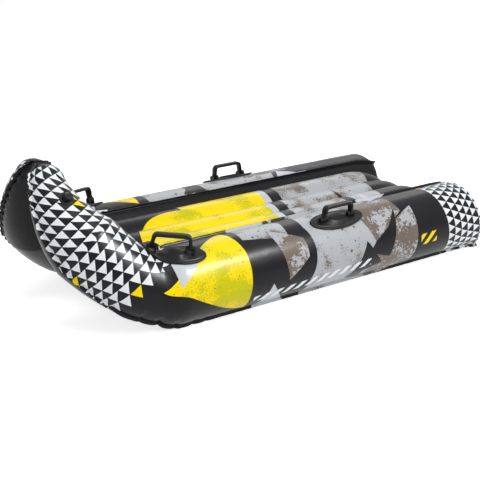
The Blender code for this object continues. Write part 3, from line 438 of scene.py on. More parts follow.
def floor_sheet(top):
    """Skin of the floor's top or bottom sheet, and where each point lies on the flat print."""
    ends = np.array([FLOOR_ROUND * (1 - math.cos(math.pi / 2 * k / FLOOR_END_ROWS)
                                    ** (2 / FLOOR_BLUNT)) for k in range(FLOOR_END_ROWS)])
    long_x = np.linspace(FLOOR_FRONT_X + FLOOR_ROUND, FLOOR_REAR_X - FLOOR_ROUND, FLOOR_ROWS)
    x = np.concatenate(([FLOOR_FRONT_X - LIP, FLOOR_FRONT_X - LIP / 2], FLOOR_FRONT_X + ends,
                        long_x, FLOOR_REAR_X - ends[::-1],
                        [FLOOR_REAR_X + LIP / 2, FLOOR_REAR_X + LIP]))
    half_y, half_h = floor_section(top)
    fill = floor_fill(np.clip(x, FLOOR_FRONT_X, FLOOR_REAR_X))[:, None]
    flat_y = half_y * (float(tube_side_y(FLOOR_MID_Z)) - FLAT_INSET) / half_y.max()
    y = flat_y + (half_y - flat_y) * fill
    offset = SEAM_HALF * (1 - fill) + FIT / 2 * fill
    gather = 1 - np.abs(np.sin(np.pi * half_y / RIM_PUCKER_PITCH + RIM_PUCKER_SHIFT))
    gather = gather ** RIM_PUCKER_POWER
    from_end = np.clip(np.minimum(x - FLOOR_FRONT_X, FLOOR_REAR_X - x), 0, None)
    rim = np.exp(-from_end / RIM_PUCKER_REACH)
    slack = RIM_PUCKER * gather[None, :] * rim[:, None] * np.minimum(fill * RIM_PUCKER_GROWTH, 1)
    drift = CREASE_DRIFT * np.sin(x * CREASE_DRIFT_RATE)
    crease = (1 - np.abs(np.sin(np.pi * x / CREASE_PITCH + drift))) ** 2
    near_weld = np.exp(-np.abs(half_y - CHANNEL_WIDTH / 2) / CREASE_REACH)
    slack = slack + CREASE * crease[:, None] * near_weld[None, :] * fill
    rise = offset + np.maximum(half_h * fill - slack, 0)
    z = FLOOR_MID_Z + (rise if top else -rise)
    grid_x = np.broadcast_to(x[:, None], y.shape)
    # Each row is squeezed sideways until none of it goes into the tubes.
    low, high = np.zeros_like(y), y.copy()
    start = nearest_gap(np.stack((grid_x, y, z), axis=-1), 1) >= FLOOR_SEAT
    for _ in range(FLOOR_HALVINGS):
        middle = (low + high) / 2
        free = nearest_gap(np.stack((grid_x, middle, z), axis=-1), 1) >= FLOOR_SEAT
        low, high = np.where(free, middle, low), np.where(free, high, middle)
    squeeze = np.where(start[:, 1:], 1, low[:, 1:] / y[:, 1:]).min(axis=1)
    points = np.stack((grid_x, y * squeeze[:, None], z), axis=-1)
    mirror = points[:, :0:-1] * np.array((1, -1, 1))
    walk = np.concatenate((-half_y[:0:-1], half_y))
    along, around = np.broadcast_arrays(x[:, None], walk)
    return (np.concatenate((mirror, points), axis=1),
            np.stack((along, around, np.ones_like(around)), axis=-1))


# Laying parts on the curved skin

def skin(side, s, turn, height):
    """Points at a height above the printed side of a tube, before its puckers."""
    centre, seam_axis, print_axis = tube_frame(side, s)
    out = seam_axis * np.cos(turn)[..., None] + print_axis * np.sin(turn)[..., None]
    lift = SEAM_HALF * (1 - np.sin(turn))
    return centre + out * (tube_radius(s) + height)[..., None] + print_axis * lift[..., None]


def floats(*values):
    """The values as arrays of one shape."""
    return np.broadcast_arrays(*(np.asarray(value, dtype=float) for value in values))


def laid(side, s, angle, skew, u, v, height):
    """Points at u back and v around from a place on a tube, at a height above its skin."""
    u, v, height = floats(u, v, height)
    back = u * math.cos(skew) + v * math.sin(skew)
    around = v * math.cos(skew) - u * math.sin(skew)
    turn = angle + side * around / float(tube_radius(s))
    # The skin's bends make the way along it shorter or longer than s, so s is searched for.
    start = skin(side, np.full(turn.shape, s), turn, np.zeros(turn.shape))
    low, high = np.zeros(turn.shape), np.abs(back) * MOST_STRETCH
    for _ in range(LAID_HALVINGS):
        middle = (low + high) / 2
        reached = skin(side, s - np.copysign(middle, back), turn, np.zeros(turn.shape))
        short = np.linalg.norm(reached - start, axis=-1) < np.abs(back)
        low, high = np.where(short, middle, low), np.where(short, high, middle)
    return skin(side, s - np.copysign(low, back), turn, height)


def on_floor(u, v, height):
    """Points around the floor's valve, on the crown of the middle channel."""
    u, v, height = floats(u, v, height)
    bow = ((CHANNEL_WIDTH / 2) ** 2 + CROWN_RISE ** 2) / (2 * CROWN_RISE)
    x = FLOOR_VALVE_X + u

    def crown(at):
        return FLOOR_MID_Z + FIT / 2 + (WEB_HALF_HEIGHT + CROWN_RISE) * floor_fill(at)

    turn = v / bow
    slope = (crown(x + NUDGE) - crown(x - NUDGE)) / (2 * NUDGE)
    out = np.stack((-slope, np.sin(turn), np.cos(turn)), axis=-1)
    out = out / np.linalg.norm(out, axis=-1)[..., None]
    skin_at = np.stack((x, bow * np.sin(turn), crown(x) - bow + bow * np.cos(turn)), axis=-1)
    return skin_at + out * height[..., None]


# Meshes

def piece(name, points, faces, material, body, slot, *nodes):
    """A named visible piece that rides a body and stands for its CAD nodes."""
    mesh = bpy.data.meshes.new(name)
    mesh.from_pydata([tuple(p) for p in points], [], faces)
    mesh.validate()
    mesh.materials.append(material)
    mesh.shade_smooth()
    obj = bpy.data.objects.new(name, mesh)
    bpy.context.collection.objects.link(obj)
    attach(obj, body)
    if nodes:
        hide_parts(*nodes)
    return obj


def grid_faces(rows, columns):
    """Faces of an open sheet whose points come row by row."""
    corners = (row * columns + column for row in range(rows - 1) for column in range(columns - 1))
    return [(a, a + 1, a + columns + 1, a + columns) for a in corners]


def blown_sheet(name, points, place, facing, material, slot, *nodes):
    """A sheet of PVC with its own thickness, whose print is laid out on the flat cut."""
    rows, columns = points.shape[:2]
    faces = grid_faces(rows, columns)
    middle = points[rows // 2, columns // 2]
    ahead = points[rows // 2 + 1, columns // 2] - middle
    beside = points[rows // 2, columns // 2 + 1] - middle
    if np.dot(np.cross(beside, ahead), facing) < 0:
        faces = [face[::-1] for face in faces]
    obj = piece(name, points.reshape(-1, 3), faces, material, "sled", slot, *nodes)
    layer = obj.data.attributes.new("print_place", "FLOAT_VECTOR", "POINT")
    layer.data.foreach_set("vector", place.reshape(-1).astype(np.float32))
    edge = obj.modifiers.new("sheet_thickness", "SOLIDIFY")
    edge.thickness = SHEET
    edge.offset = -1
    return obj


def ringed(rings):
    """Points and faces of a closed body through rings of equal size; a lone point is a tip."""
    points, faces, starts = [], [], []
    for ring in rings:
        starts.append((len(points), len(ring)))
        points.extend(ring)
    for (a, n), (b, m) in zip(starts, starts[1:]):
        for k in range(max(n, m)):
            j = (k + 1) % max(n, m)
            if n == 1:
                faces.append((a, b + j, b + k))
            elif m == 1:
                faces.append((a + k, a + j, b))
            else:
                faces.append((a + k, a + j, b + j, b + k))
    if len(rings[0]) > 1:
        faces.append(tuple(reversed(range(len(rings[0])))))
    if len(rings[-1]) > 1:
        start, count = starts[-1]
        faces.append(tuple(range(start, start + count)))
    return points, faces


def joined(*parts):
    """Several bodies as one mesh, each given as points and faces."""
    points, faces = [], []
    for more_points, more_faces in parts:
        shift = len(points)
        points.extend(more_points)
        faces.extend(tuple(i + shift for i in face) for face in more_faces)
    return points, faces


def turned_out(obj):
    """Faces outward, with crisp edges where the mould had them."""
    build = bmesh.new()
    build.from_mesh(obj.data)
    bmesh.ops.recalc_face_normals(build, faces=build.faces)
    build.to_mesh(obj.data)
    build.free()
    obj.data.set_sharp_from_angle(angle=CRISP_ANGLE)


# Finishes

def linear(code):
    """sRGB hex to the linear colour that shaders take."""
    values = [int(code[k:k + 2], 16) / 255 for k in (1, 3, 5)]
    return [v / 12.92 if v <= 0.04045 else ((v + 0.055) / 1.055) ** 2.4 for v in values] + [1]


def add(tree, kind, settings=None, links=None):
    """Adds a shader node. A setting is a property by name, or an input by name or number. A link
    comes from a socket, or from a node's first output."""
    node = tree.nodes.new("ShaderNode" + kind)
    for key, value in (settings or {}).items():
        if isinstance(key, str) and hasattr(node, key):
            setattr(node, key, value)
        else:
            node.inputs[key].default_value = value
    for key, source in (links or {}).items():
        tree.links.new(getattr(source, "outputs", [source])[0], node.inputs[key])
    return node


def finish(name, sockets):
    """A new material with its Principled shader's sockets set."""
    material = bpy.data.materials.new(name)
    material.use_nodes = True
    shader = material.node_tree.nodes["Principled BSDF"]
    for key, value in sockets.items():
        shader.inputs[key].default_value = value
    return material.node_tree, shader, material


# Opaque screen inks on PVC, as they look when dry
INKS = {"white": "#eceff2", "pale": "#c9ccd1", "grey": "#b4b7bb", "taupe": "#75695f",
        "yellow": "#ffe000", "olive": "#cfc800", "black": "#101014"}


def overprint(tree, under, ink, *masks):
    """Lays an ink where all the masks meet, over what is printed already or the black sheet."""
    meet = masks[0]
    for mask in masks[1:]:
        meet = add(tree, "Math", {"operation": "MULTIPLY"}, {0: meet, 1: mask})
    inks, links = {"data_type": "RGBA", 7: linear(INKS[ink])}, {0: meet}
    if under is None:
        inks[6] = linear(INKS["black"])
    else:
        links[6] = under
    return add(tree, "Mix", inks, links).outputs[2]


def upright(x_low, x_high, y_low, y_high):
    """Corners of a field that stands square on the sheet."""
    return [(x_low, y_low), (x_high, y_low), (x_high, y_high), (x_low, y_high)]


def field(tree, place, corners):
    """A straight-edged field of the print, with its corners in order around it."""
    area = sum(a[0] * b[1] - b[0] * a[1] for a, b in zip(corners, corners[1:] + corners[:1]))
    inside = None
    for a, b in zip(corners, corners[1:] + corners[:1]):
        length = math.dist(a, b) * math.copysign(1, area)
        normal = ((a[1] - b[1]) / length, (b[0] - a[0]) / length)
        reach = -(normal[0] * a[0] + normal[1] * a[1])
        edge = add(tree, "VectorMath", {"operation": "DOT_PRODUCT", 1: (*normal, reach)},
                   {0: place}).outputs[1]
        if inside is None:
            inside = edge
        else:
            inside = add(tree, "Math", {"operation": "MINIMUM"}, {0: inside, 1: edge})
    return add(tree, "Math", {"operation": "GREATER_THAN", 1: 0}, {0: inside})


def round_field(tree, place, centre, radius, reach):
    """An arc of the print, reach to either side of its radius; with a radius of 0, a disc."""
    away = add(tree, "VectorMath", {"operation": "DISTANCE", 1: (*centre, 1)},
               {0: place}).outputs[1]
    return add(tree, "Math", {"operation": "COMPARE", 1: radius, 2: reach}, {0: away})


def spatter(tree, place, grain_mm, level, patch_mm):
    """Torn flecks of a second ink, in patches: a lower level prints more of them."""
    fleck = add(tree, "TexNoise", {"Scale": 1000 / grain_mm, "Detail": 5.0, "Roughness": 0.72},
                {"Vector": place})
    patch = add(tree, "TexNoise", {"Scale": 1000 / patch_mm, "Detail": 2.0}, {"Vector": place})
    both = add(tree, "Math", {"operation": "ADD"}, {0: patch, 1: fleck})
    return add(tree, "Math", {"operation": "GREATER_THAN", 1: level}, {0: both})


def thrown_dots(tree, place, pitch_mm, share):
    """Round spots of thrown ink in all sizes, in a share of the cells."""
    cells = add(tree, "TexVoronoi", {"Scale": 1000 / pitch_mm}, {"Vector": place})
    size = add(tree, "MapRange", {"From Min": 1 - share, "To Max": 0.34},
               {"Value": cells.outputs["Color"]})
    return add(tree, "Math", {"operation": "LESS_THAN"}, {0: cells.outputs["Distance"], 1: size})


def triangle_grid(tree, place, across, along, stagger, seed):
    """Triangles on a slanted grid: the mask of all, the column's number, and the mask of a few."""
    u = add(tree, "VectorMath", {"operation": "DOT_PRODUCT", 1: across}, {0: place}).outputs[1]
    v = add(tree, "VectorMath", {"operation": "DOT_PRODUCT", 1: along}, {0: place}).outputs[1]
    column = add(tree, "Math", {"operation": "FLOOR"}, {0: u})
    pair = add(tree, "Math", {"operation": "SNAP", 1: 2.0}, {0: column})
    v = add(tree, "Math", {"operation": "MULTIPLY_ADD", 1: stagger}, {0: pair, 2: v})
    cell = add(tree, "Math", {"operation": "FLOOR"}, {0: v})
    right = add(tree, "Math", {"operation": "FRACT"}, {0: u})
    up = add(tree, "Math", {"operation": "FRACT"}, {0: v})
    both = add(tree, "Math", {"operation": "ADD"}, {0: right, 1: up})
    every = add(tree, "Math", {"operation": "LESS_THAN", 1: TRIANGLE_FILL}, {0: both})
    number = add(tree, "CombineXYZ", {2: seed}, {0: column, 1: cell})
    chance = add(tree, "TexWhiteNoise", {"noise_dimensions": "3D"}, {"Vector": number})
    few = add(tree, "Math", {"operation": "GREATER_THAN", 1: LONE_LEVEL}, {0: chance})
    return every, column, few


# Plasticised PVC has an IOR of 1.53. Its reflection is held down from there, because the rollers
# leave the real sheet satin, and its black stays black beside a white floor.
PVC = {"IOR": 1.53, "Specular IOR Level": 0.14}
ROLLER_GRAIN_MM, SWELL_MM, BLOOM_MM, RUB_MM = 1.6, 42, 60, 90
GRAIN_DEPTH, SWELL_DEPTH = 0.0002, 0.0016
FRESH_ROUGHNESS, RUBBED_ROUGHNESS = 0.24, 0.38


def pvc_surface(tree, shader):
    """What calender rollers, air and use leave on the sheet: grain, slack swells and rub marks."""
    where = add(tree, "TexCoord").outputs["Object"]
    # The rollers' own grain is about 0.3 mm. It is drawn at 1.6 mm, or it wouldn't show.
    grain = add(tree, "TexNoise", {"Scale": 1000 / ROLLER_GRAIN_MM, "Detail": 2.0},
                {"Vector": where})
    swell = add(tree, "TexNoise", {"Scale": 1000 / SWELL_MM, "Detail": 2.0, "Distortion": 0.6},
                {"Vector": where})
    rubbed = add(tree, "TexNoise", {"Scale": 1000 / RUB_MM, "Detail": 4.0}, {"Vector": where})
    gloss = add(tree, "MapRange", {"To Min": FRESH_ROUGHNESS, "To Max": RUBBED_ROUGHNESS},
                {"Value": rubbed})
    tree.links.new(gloss.outputs[0], shader.inputs["Roughness"])
    fine = add(tree, "Bump", {"Strength": 0.10, "Distance": GRAIN_DEPTH}, {"Height": grain})
    soft = add(tree, "Bump", {"Strength": 0.35, "Distance": SWELL_DEPTH},
               {"Height": swell, "Normal": fine})
    tree.links.new(soft.outputs[0], shader.inputs["Normal"])


def black_pvc():
    """PVC sheet coloured in the mass and calendered: near black, with a faint cloudy bloom."""
    tree, shader, material = finish("calendered_black_pvc", PVC)
    where = add(tree, "TexCoord").outputs["Object"]
    bloom = add(tree, "TexNoise", {"Scale": 1000 / BLOOM_MM, "Detail": 5.0}, {"Vector": where})
    tone = add(tree, "Mix", {"data_type": "RGBA", 6: linear("#0b0b0e"), 7: linear(INKS["black"])},
               {0: bloom}).outputs[2]
    tree.links.new(tone, shader.inputs["Base Color"])
    pvc_surface(tree, shader)
    return material


def grey_web_pvc():
    """Calendered PVC sheet, unprinted: an even mid grey, for the webs inside the floor."""
    tree, shader, material = finish("uncoated_grey_pvc", PVC)
    shader.inputs["Base Color"].default_value = linear("#8d9094")
    pvc_surface(tree, shader)
    return material


# Corners in order around each field, in metres along the sled and around the tube
TUBE_FIELDS = (
    ("yellow", [(-0.440, 0.168), (-0.300, 0.066), (-0.215, 0.010), (-0.197, 0.120),
                (-0.200, 0.300), (-0.275, 0.262)]),
    ("pale", [(-0.422, 0.088), (-0.298, 0.082), (-0.402, 0.170)]),
    ("grey", [(-0.180, -0.01), (-0.030, -0.01), (-0.050, 0.110), (-0.185, 0.082)]),
    ("taupe", [(-0.105, 0.068), (0.034, 0.142), (-0.075, 0.224)]),
    ("pale", [(-0.168, 0.330), (-0.128, 0.222), (-0.055, 0.330)]),
    ("grey", [(0.018, -0.01), (0.262, -0.01), (0.300, 0.100), (0.100, 0.330), (-0.005, 0.330)]),
    ("taupe", [(0.170, 0.030), (0.345, 0.040), (0.352, 0.110), (0.230, 0.180)]),
    ("pale", [(0.275, -0.01), (0.395, -0.01), (0.300, 0.040)]),
    ("taupe", [(0.300, 0.140), (0.395, 0.100), (0.388, 0.310), (0.190, 0.330), (0.205, 0.240)]),
    ("black", [(0.148, 0.285), (0.198, 0.172), (0.262, 0.252)]),
    ("black", [(0.222, 0.214), (0.332, 0.098), (0.286, 0.236)]),
    ("pale", [(0.060, 0.335), (0.140, 0.287), (0.255, 0.335)]))
BARRED_FIELDS = (
    ("white", [(-0.185, 0.252), (0.215, 0.226), (0.221, 0.250), (-0.180, 0.277)]),
    ("yellow", [(0.405, 0.195), (0.468, 0.192), (0.470, 0.226), (0.407, 0.229)]))
# A black arc over the fields, cut off at the edges of its own field
ARC_CENTRE, ARC_RADIUS, ARC_HALF = (-0.205, 0.150), 0.212, 0.013
ARC_FIELD = upright(-0.06, 0.12, -0.02, 0.34)
FLOOR_FIELDS = (
    ("yellow", [(-0.193, -0.30), (-0.193, 0.30), (0.080, 0.30), (0.080, -0.30)]),
    ("pale", [(0.080, -0.30), (0.128, -0.30), (0.098, 0.30), (0.080, 0.30)]),
    ("black", [(0.098, -0.30), (0.150, -0.30), (0.150, 0.30), (0.108, 0.30)]),
    ("grey", [(0.128, -0.30), (0.640, -0.30), (0.640, 0.30), (0.152, 0.30)]),
    ("black", [(0.330, -0.30), (0.405, -0.30), (0.330, 0.02)]),
    ("pale", [(0.400, -0.30), (0.460, -0.30), (0.385, -0.02)]),
    ("black", [(0.452, -0.30), (0.650, -0.30), (0.650, 0.30), (0.560, 0.30), (0.470, 0.00)]))
DISC_CENTRE, DISC_RADIUS = (-0.190, -0.080), 0.172
CHANNEL_STEP = 0.45           # how far the print steps back for each metre to the sled's right


def print_fields(tree, colour, place, fields, flecks):
    """Prints angular fields one over the other, each with the flecks that its ink takes."""
    for ink, corners in fields:
        mask = field(tree, place, corners)
        colour = overprint(tree, colour, ink, mask)
        for over, thrown in flecks.get(ink, ()):
            colour = overprint(tree, colour, over, mask, thrown)
    return colour


def nose_triangles(tree, colour, raw, nose_end, seed):
    """Rows of triangles over the nose, and a bare black tip."""
    # The nose is cut on a bend, so the straight rows of the sheet fan out along it.
    split = add(tree, "SeparateXYZ", {}, {0: raw})
    skewed = add(tree, "Math", {"operation": "MULTIPLY"},
                 {0: split.outputs[0], 1: split.outputs[1]})
    squared = add(tree, "Math", {"operation": "MULTIPLY"},
                  {0: split.outputs[0], 1: split.outputs[0]})
    ahead = add(tree, "VectorMath", {"operation": "DOT_PRODUCT", 1: (1, NOSE_SLANT, nose_end)},
                {0: raw}).outputs[1]
    ahead = add(tree, "Math", {"operation": "MULTIPLY_ADD", 1: NOSE_FAN}, {0: skewed, 2: ahead})
    down = add(tree, "VectorMath", {"operation": "DOT_PRODUCT", 1: (NOSE_DROP, -1, 0)},
               {0: raw}).outputs[1]
    down = add(tree, "Math", {"operation": "MULTIPLY_ADD", 1: NOSE_DROOP}, {0: squared, 2: down})
    fanned = add(tree, "CombineXYZ", {}, {0: ahead, 1: down})
    every, column, few = triangle_grid(tree, fanned, (1 / NOSE_BASE, 0, 0), (0, 1 / NOSE_BASE, 0),
                                       NOSE_STAGGER, seed)
    last_column = add(tree, "Math", {"operation": "LESS_THAN", 1: NOSE_UPPER},
                      {0: split.outputs[1]})
    nose = add(tree, "Math", {"operation": "GREATER_THAN"}, {0: last_column, 1: column})
    colour = overprint(tree, colour, "black", nose)
    colour = overprint(tree, colour, "white", nose, every)
    colour = overprint(tree, colour, "yellow", nose, every, few)
    tip = field(tree, raw, upright(PAST_ENDS[0], TIP_X, *PAST_EDGES))
    return overprint(tree, colour, "black", tip)


def rear_triangles(tree, colour, raw, rear_start, seed):
    """Rows of triangles around the rear end, from a bowed front edge to the weld."""
    around = add(tree, "VectorMath", {"operation": "DOT_PRODUCT", 1: (0, 1, 0)},
                 {0: raw}).outputs[1]
    squared = add(tree, "Math", {"operation": "MULTIPLY"}, {0: around, 1: around})
    back = add(tree, "Math", {"operation": "MULTIPLY_ADD", 1: -BAND_BOW, 2: -BAND_X}, {0: squared})
    back = add(tree, "CombineXYZ", {}, {0: back})
    bowed = add(tree, "VectorMath", {"operation": "ADD"}, {0: raw, 1: back})
    every, column, few = triangle_grid(tree, bowed, (1 / REAR_BASE, 0, 0),
                                       (-0.5 / REAR_BASE, 1 / REAR_BASE, 0), 0.0, seed)
    behind = add(tree, "Math", {"operation": "GREATER_THAN", 1: -0.5}, {0: column})
    below = field(tree, raw, upright(BAND_FIELD_X, PAST_ENDS[1], rear_start, PAST_EDGES[1]))
    colour = overprint(tree, colour, "white", behind, below, every)
    return overprint(tree, colour, "yellow", behind, below, every, few)


def tube_print(name, shift, nose_end, rear_start, seed):
    """PVC sheet screen-printed in opaque inks: flat colours with crisp edges, torn by flecks, under
    the same satin as the plain sheet."""
    tree, shader, material = finish(name, PVC)
    raw = add(tree, "Attribute", {"attribute_name": "print_place"}).outputs["Vector"]
    place = add(tree, "VectorMath", {"operation": "ADD", 1: (shift, 0, 0)}, {0: raw})
    fine = thrown_dots(tree, place, pitch_mm=8, share=0.44)
    coarse = thrown_dots(tree, place, pitch_mm=21, share=0.48)
    on_yellow = spatter(tree, place, grain_mm=5, level=1.03, patch_mm=80)
    on_grey = spatter(tree, place, grain_mm=4, level=1.13, patch_mm=60)
    on_taupe = spatter(tree, place, grain_mm=9, level=1.07, patch_mm=60)
    flecks = {"yellow": (("olive", on_yellow), ("taupe", fine)),
              "grey": (("taupe", on_grey), ("taupe", fine), ("taupe", coarse)),
              "taupe": (("grey", on_taupe), ("black", fine))}
    colour = print_fields(tree, None, place, TUBE_FIELDS, flecks)
    arc = round_field(tree, place, ARC_CENTRE, ARC_RADIUS, ARC_HALF)
    colour = overprint(tree, colour, "black", arc, field(tree, place, ARC_FIELD))
    slanted = add(tree, "VectorMath", {"operation": "DOT_PRODUCT", 1: (1, BAR_SLANT, 0)},
                  {0: place}).outputs[1]
    beat = add(tree, "Math", {"operation": "PINGPONG", 1: BAR_PITCH / 2}, {0: slanted})
    bars = add(tree, "Math", {"operation": "GREATER_THAN", 1: BAR_PITCH * BAR_GAP}, {0: beat})
    for ink, corners in BARRED_FIELDS:
        colour = overprint(tree, colour, ink, field(tree, place, corners), bars)
    colour = nose_triangles(tree, colour, raw, nose_end, seed)
    colour = rear_triangles(tree, colour, raw, rear_start, seed + 1)
    tree.links.new(colour, shader.inputs["Base Color"])
    pvc_surface(tree, shader)
    return material


def floor_print():
    """The same screen-printed PVC on the floor, in bands that step from channel to channel."""
    tree, shader, material = finish("printed_floor_pvc", PVC)
    raw = add(tree, "Attribute", {"attribute_name": "print_place"}).outputs["Vector"]
    split = add(tree, "SeparateXYZ", {}, {0: raw})
    across = add(tree, "Math", {"operation": "ADD", 1: CHANNEL_WIDTH / 2}, {0: split.outputs[1]})
    channel = add(tree, "Math", {"operation": "SNAP", 1: CHANNEL_WIDTH}, {0: across})
    shift = add(tree, "Math", {"operation": "MULTIPLY", 1: -CHANNEL_STEP}, {0: channel})
    moved = add(tree, "CombineXYZ", {}, {0: shift})
    place = add(tree, "VectorMath", {"operation": "ADD"}, {0: raw, 1: moved})
    on_yellow = spatter(tree, raw, grain_mm=5, level=1.05, patch_mm=80)
    flecks = {"yellow": (("olive", on_yellow),),
              "grey": (("taupe", spatter(tree, raw, grain_mm=4, level=1.09, patch_mm=65)),
                       ("taupe", thrown_dots(tree, raw, pitch_mm=9, share=0.44)),
                       ("taupe", thrown_dots(tree, raw, pitch_mm=21, share=0.48)))}
    disc = round_field(tree, raw, DISC_CENTRE, 0, DISC_RADIUS)
    colour = overprint(tree, overprint(tree, None, "yellow", disc), "olive", disc, on_yellow)
    colour = print_fields(tree, colour, place, FLOOR_FIELDS, flecks)
    tree.links.new(colour, shader.inputs["Base Color"])
    pvc_surface(tree, shader)
    return material


# The grained moulds take the shine off, as the rollers do on the sheet.
PLASTIC = {"Specular IOR Level": 0.16}
TONE_MM, SCUFF_MM, GRIT_DEPTH = 30, 12, 0.00025
SMOOTHER, ROUGHER = 0.07, 0.10    # what scuffs do to the roughness, each way


def moulded(name, dark, light, rough, grain_mm, ior):
    """A moulded plastic: slight changes of tone, scuffs in the gloss, the mould's spark grain."""
    tree, shader, material = finish(name, {**PLASTIC, "IOR": ior})
    where = add(tree, "TexCoord").outputs["Object"]
    tone = add(tree, "TexNoise", {"Scale": 1000 / TONE_MM, "Detail": 4.0}, {"Vector": where})
    colour = add(tree, "Mix", {"data_type": "RGBA", 6: linear(dark), 7: linear(light)},
                 {0: tone}).outputs[2]
    tree.links.new(colour, shader.inputs["Base Color"])
    scuff = add(tree, "TexNoise", {"Scale": 1000 / SCUFF_MM, "Detail": 6.0}, {"Vector": where})
    gloss = add(tree, "MapRange", {"To Min": rough - SMOOTHER, "To Max": rough + ROUGHER},
                {"Value": scuff})
    tree.links.new(gloss.outputs[0], shader.inputs["Roughness"])
    grit = add(tree, "TexNoise", {"Scale": 1000 / grain_mm, "Detail": 2.0}, {"Vector": where})
    bump = add(tree, "Bump", {"Strength": 0.25, "Distance": GRIT_DEPTH}, {"Height": grit})
    tree.links.new(bump.outputs[0], shader.inputs["Normal"])
    return material


# Building

def make_tube(word, side, printed, plain):
    """One side tube: the printed sheet outside, the plain sheet towards the middle of the sled."""
    _, _, out = tube_frame(side, HEEL_S / 2)
    for face, pvc, name, slot, node in (
            (1, printed, "_printed_sheet", "printed_vinyl", "_tube_printed_panel"),
            (-1, plain, "_inner_sheet", "plain_black_vinyl", "_tube_inner_panel")):
        points, place = tube_sheet(side, face)
        sheet = blown_sheet(word + name, points, place, face * out, pvc, slot, word + node)


def make_floor(printed, plain, web):
    """The floor's printed top and plain bottom, and the two webs that hold them together."""
    for word, pvc, slot, facing in (("top", printed, "printed_vinyl", (0, 0, 1)),
                                    ("bottom", plain, "plain_black_vinyl", (0, 0, -1))):
        points, place = floor_sheet(word == "top")
        sheet = blown_sheet(f"floor_{word}_sheet", points, place, facing, pvc, slot,
                            f"floor_{word}_panel")
    for word, side in SIDES.items():
        low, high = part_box(f"floor_{word}_web")
        x = np.linspace(low[0], high[0], WEB_COLUMNS)[:, None]
        z = np.linspace(low[2], high[2], WEB_ROWS)
        belly = np.sin(np.pi * (z - low[2]) / (high[2] - low[2]))
        y = (low[1] + high[1]) / 2 + WEB_SWAY * np.sin(x * WEB_SWAY_RATE) * belly
        points = np.stack(np.broadcast_arrays(x, y, z), axis=-1)
        blown_sheet(f"floor_{word}_web_sheet", points, points, (0, side, 0), web, "web_vinyl",
                    f"floor_{word}_web")


def oval(place, length, width, height):
    """A ring of points on the skin, for the pads."""
    turn = 2 * np.pi * np.arange(PAD_POINTS) / PAD_POINTS
    return list(place(length / 2 * np.cos(turn), width / 2 * np.sin(turn), height))


def pad_rings(place):
    """Rings from the middle of a pad's underside, over its rim, to the top of its dome."""
    under = [oval(place, PAD_LENGTH * k / UNDER_RINGS, PAD_WIDTH * k / UNDER_RINGS, PAD_SEAT)
             for k in range(1, UNDER_RINGS)]
    rim = [oval(place, PAD_LENGTH - 2 * inset, PAD_WIDTH - 2 * inset, height)
           for inset, height in PAD_RIM]
    dome = []
    for k in range(DOME_RINGS + 1):
        level = math.cos(math.pi * k / DOME_RINGS)
        spread, height = 2 * DOME_FLARE * level, PAD_TOP + DOME_RISE * (1 - level) / 2
        dome.append(oval(place, DOME_LENGTH + spread, DOME_WIDTH + spread, height))
    roof = PAD_TOP + DOME_RISE
    dome += [oval(place, DOME_LENGTH * share, DOME_WIDTH * share, roof) for share in ROOF_SHARES]
    return [[place(0, 0, PAD_SEAT)], *under, *rim, *dome, [place(0, 0, roof)]]


def stood(x_axis, y_axis, z_axis, origin):
    """The matrix that stands a part on its own axes."""
    matrix = Matrix((x_axis, y_axis, z_axis)).transposed().to_4x4()
    matrix.translation = origin
    return matrix


def make_handle(word, end, side, soft, hard):
    """A pad welded on the tube, with four ears, and the grip that folds between them."""
    x, angle, skew, rise, lean = HANDLES[end]
    s, skew = REAR_X - x, -side * skew

    def place(u, v, height):
        return laid(side, s, angle, skew, u, v, height)

    rear, front = place(FOOT_PLACE, 0, 0), place(-FOOT_PLACE, 0, 0)
    _, seam_axis, print_axis = tube_frame(side, s)
    out = Vector(seam_axis * math.cos(angle) + print_axis * math.sin(angle))
    along = Vector(rear - front).normalized()
    beside = out.cross(along).normalized()
    up = along.cross(beside)
    pivot = stood(along, beside, up, Vector((rear + front) / 2) + up * rise)
    inner_end, outer_start = FOOT_PLACE - FOOT_LENGTH / 2 - FIT, FOOT_PLACE + FOOT_LENGTH / 2 + FIT
    ears = [ear(pivot, mirror * near, mirror * far, rise) for mirror in (-1, 1)
            for near, far in ((inner_end - LUG_LENGTH, inner_end),
                              (outer_start, outer_start + LUG_LENGTH))]
    pad = piece(f"{word}_{end}_pad", *joined(ringed(pad_rings(place)), *ears), soft, "sled",
                "welded_black_plastic", f"{word}_{end}_handle_base")
    turned_out(pad)
    tilt = pivot @ Matrix.Rotation(side * lean, 4, "X")
    grip = piece(f"{word}_{end}_grip_loop", *grip_mesh(tilt), hard, f"{word}_{end}_grip",
                 "moulded_black_plastic", f"{word}_{end}_handle_grip")
    turned_out(grip)


def ear(pivot, start, end, rise):
    """An ear of the pad, with a round head about the pivot and softened edges."""
    low, high = min(start, end), max(start, end)
    foot, spread = -(rise - PAD_SEAT - PAD_PLATE * EAR_SINK), LUG_HALF_WIDTH * EAR_SPREAD
    turns = [math.pi * k / EAR_TURNS for k in range(EAR_TURNS + 1)]
    head = [(-LUG_HALF_WIDTH * math.cos(t), LUG_HALF_WIDTH * math.sin(t)) for t in turns]
    outline = [(-spread, foot), (-LUG_HALF_WIDTH, foot * EAR_NECK), *head,
               (LUG_HALF_WIDTH, foot * EAR_NECK), (spread, foot)]
    rings = []
    for u, grow in ((low, EAR_END), (low + SOFT_EDGE, 1), (high - SOFT_EDGE, 1), (high, EAR_END)):
        rings.append([pivot @ Vector((u, y * grow, z * grow if z > 0 else z)) for y, z in outline])
    return ringed(rings)


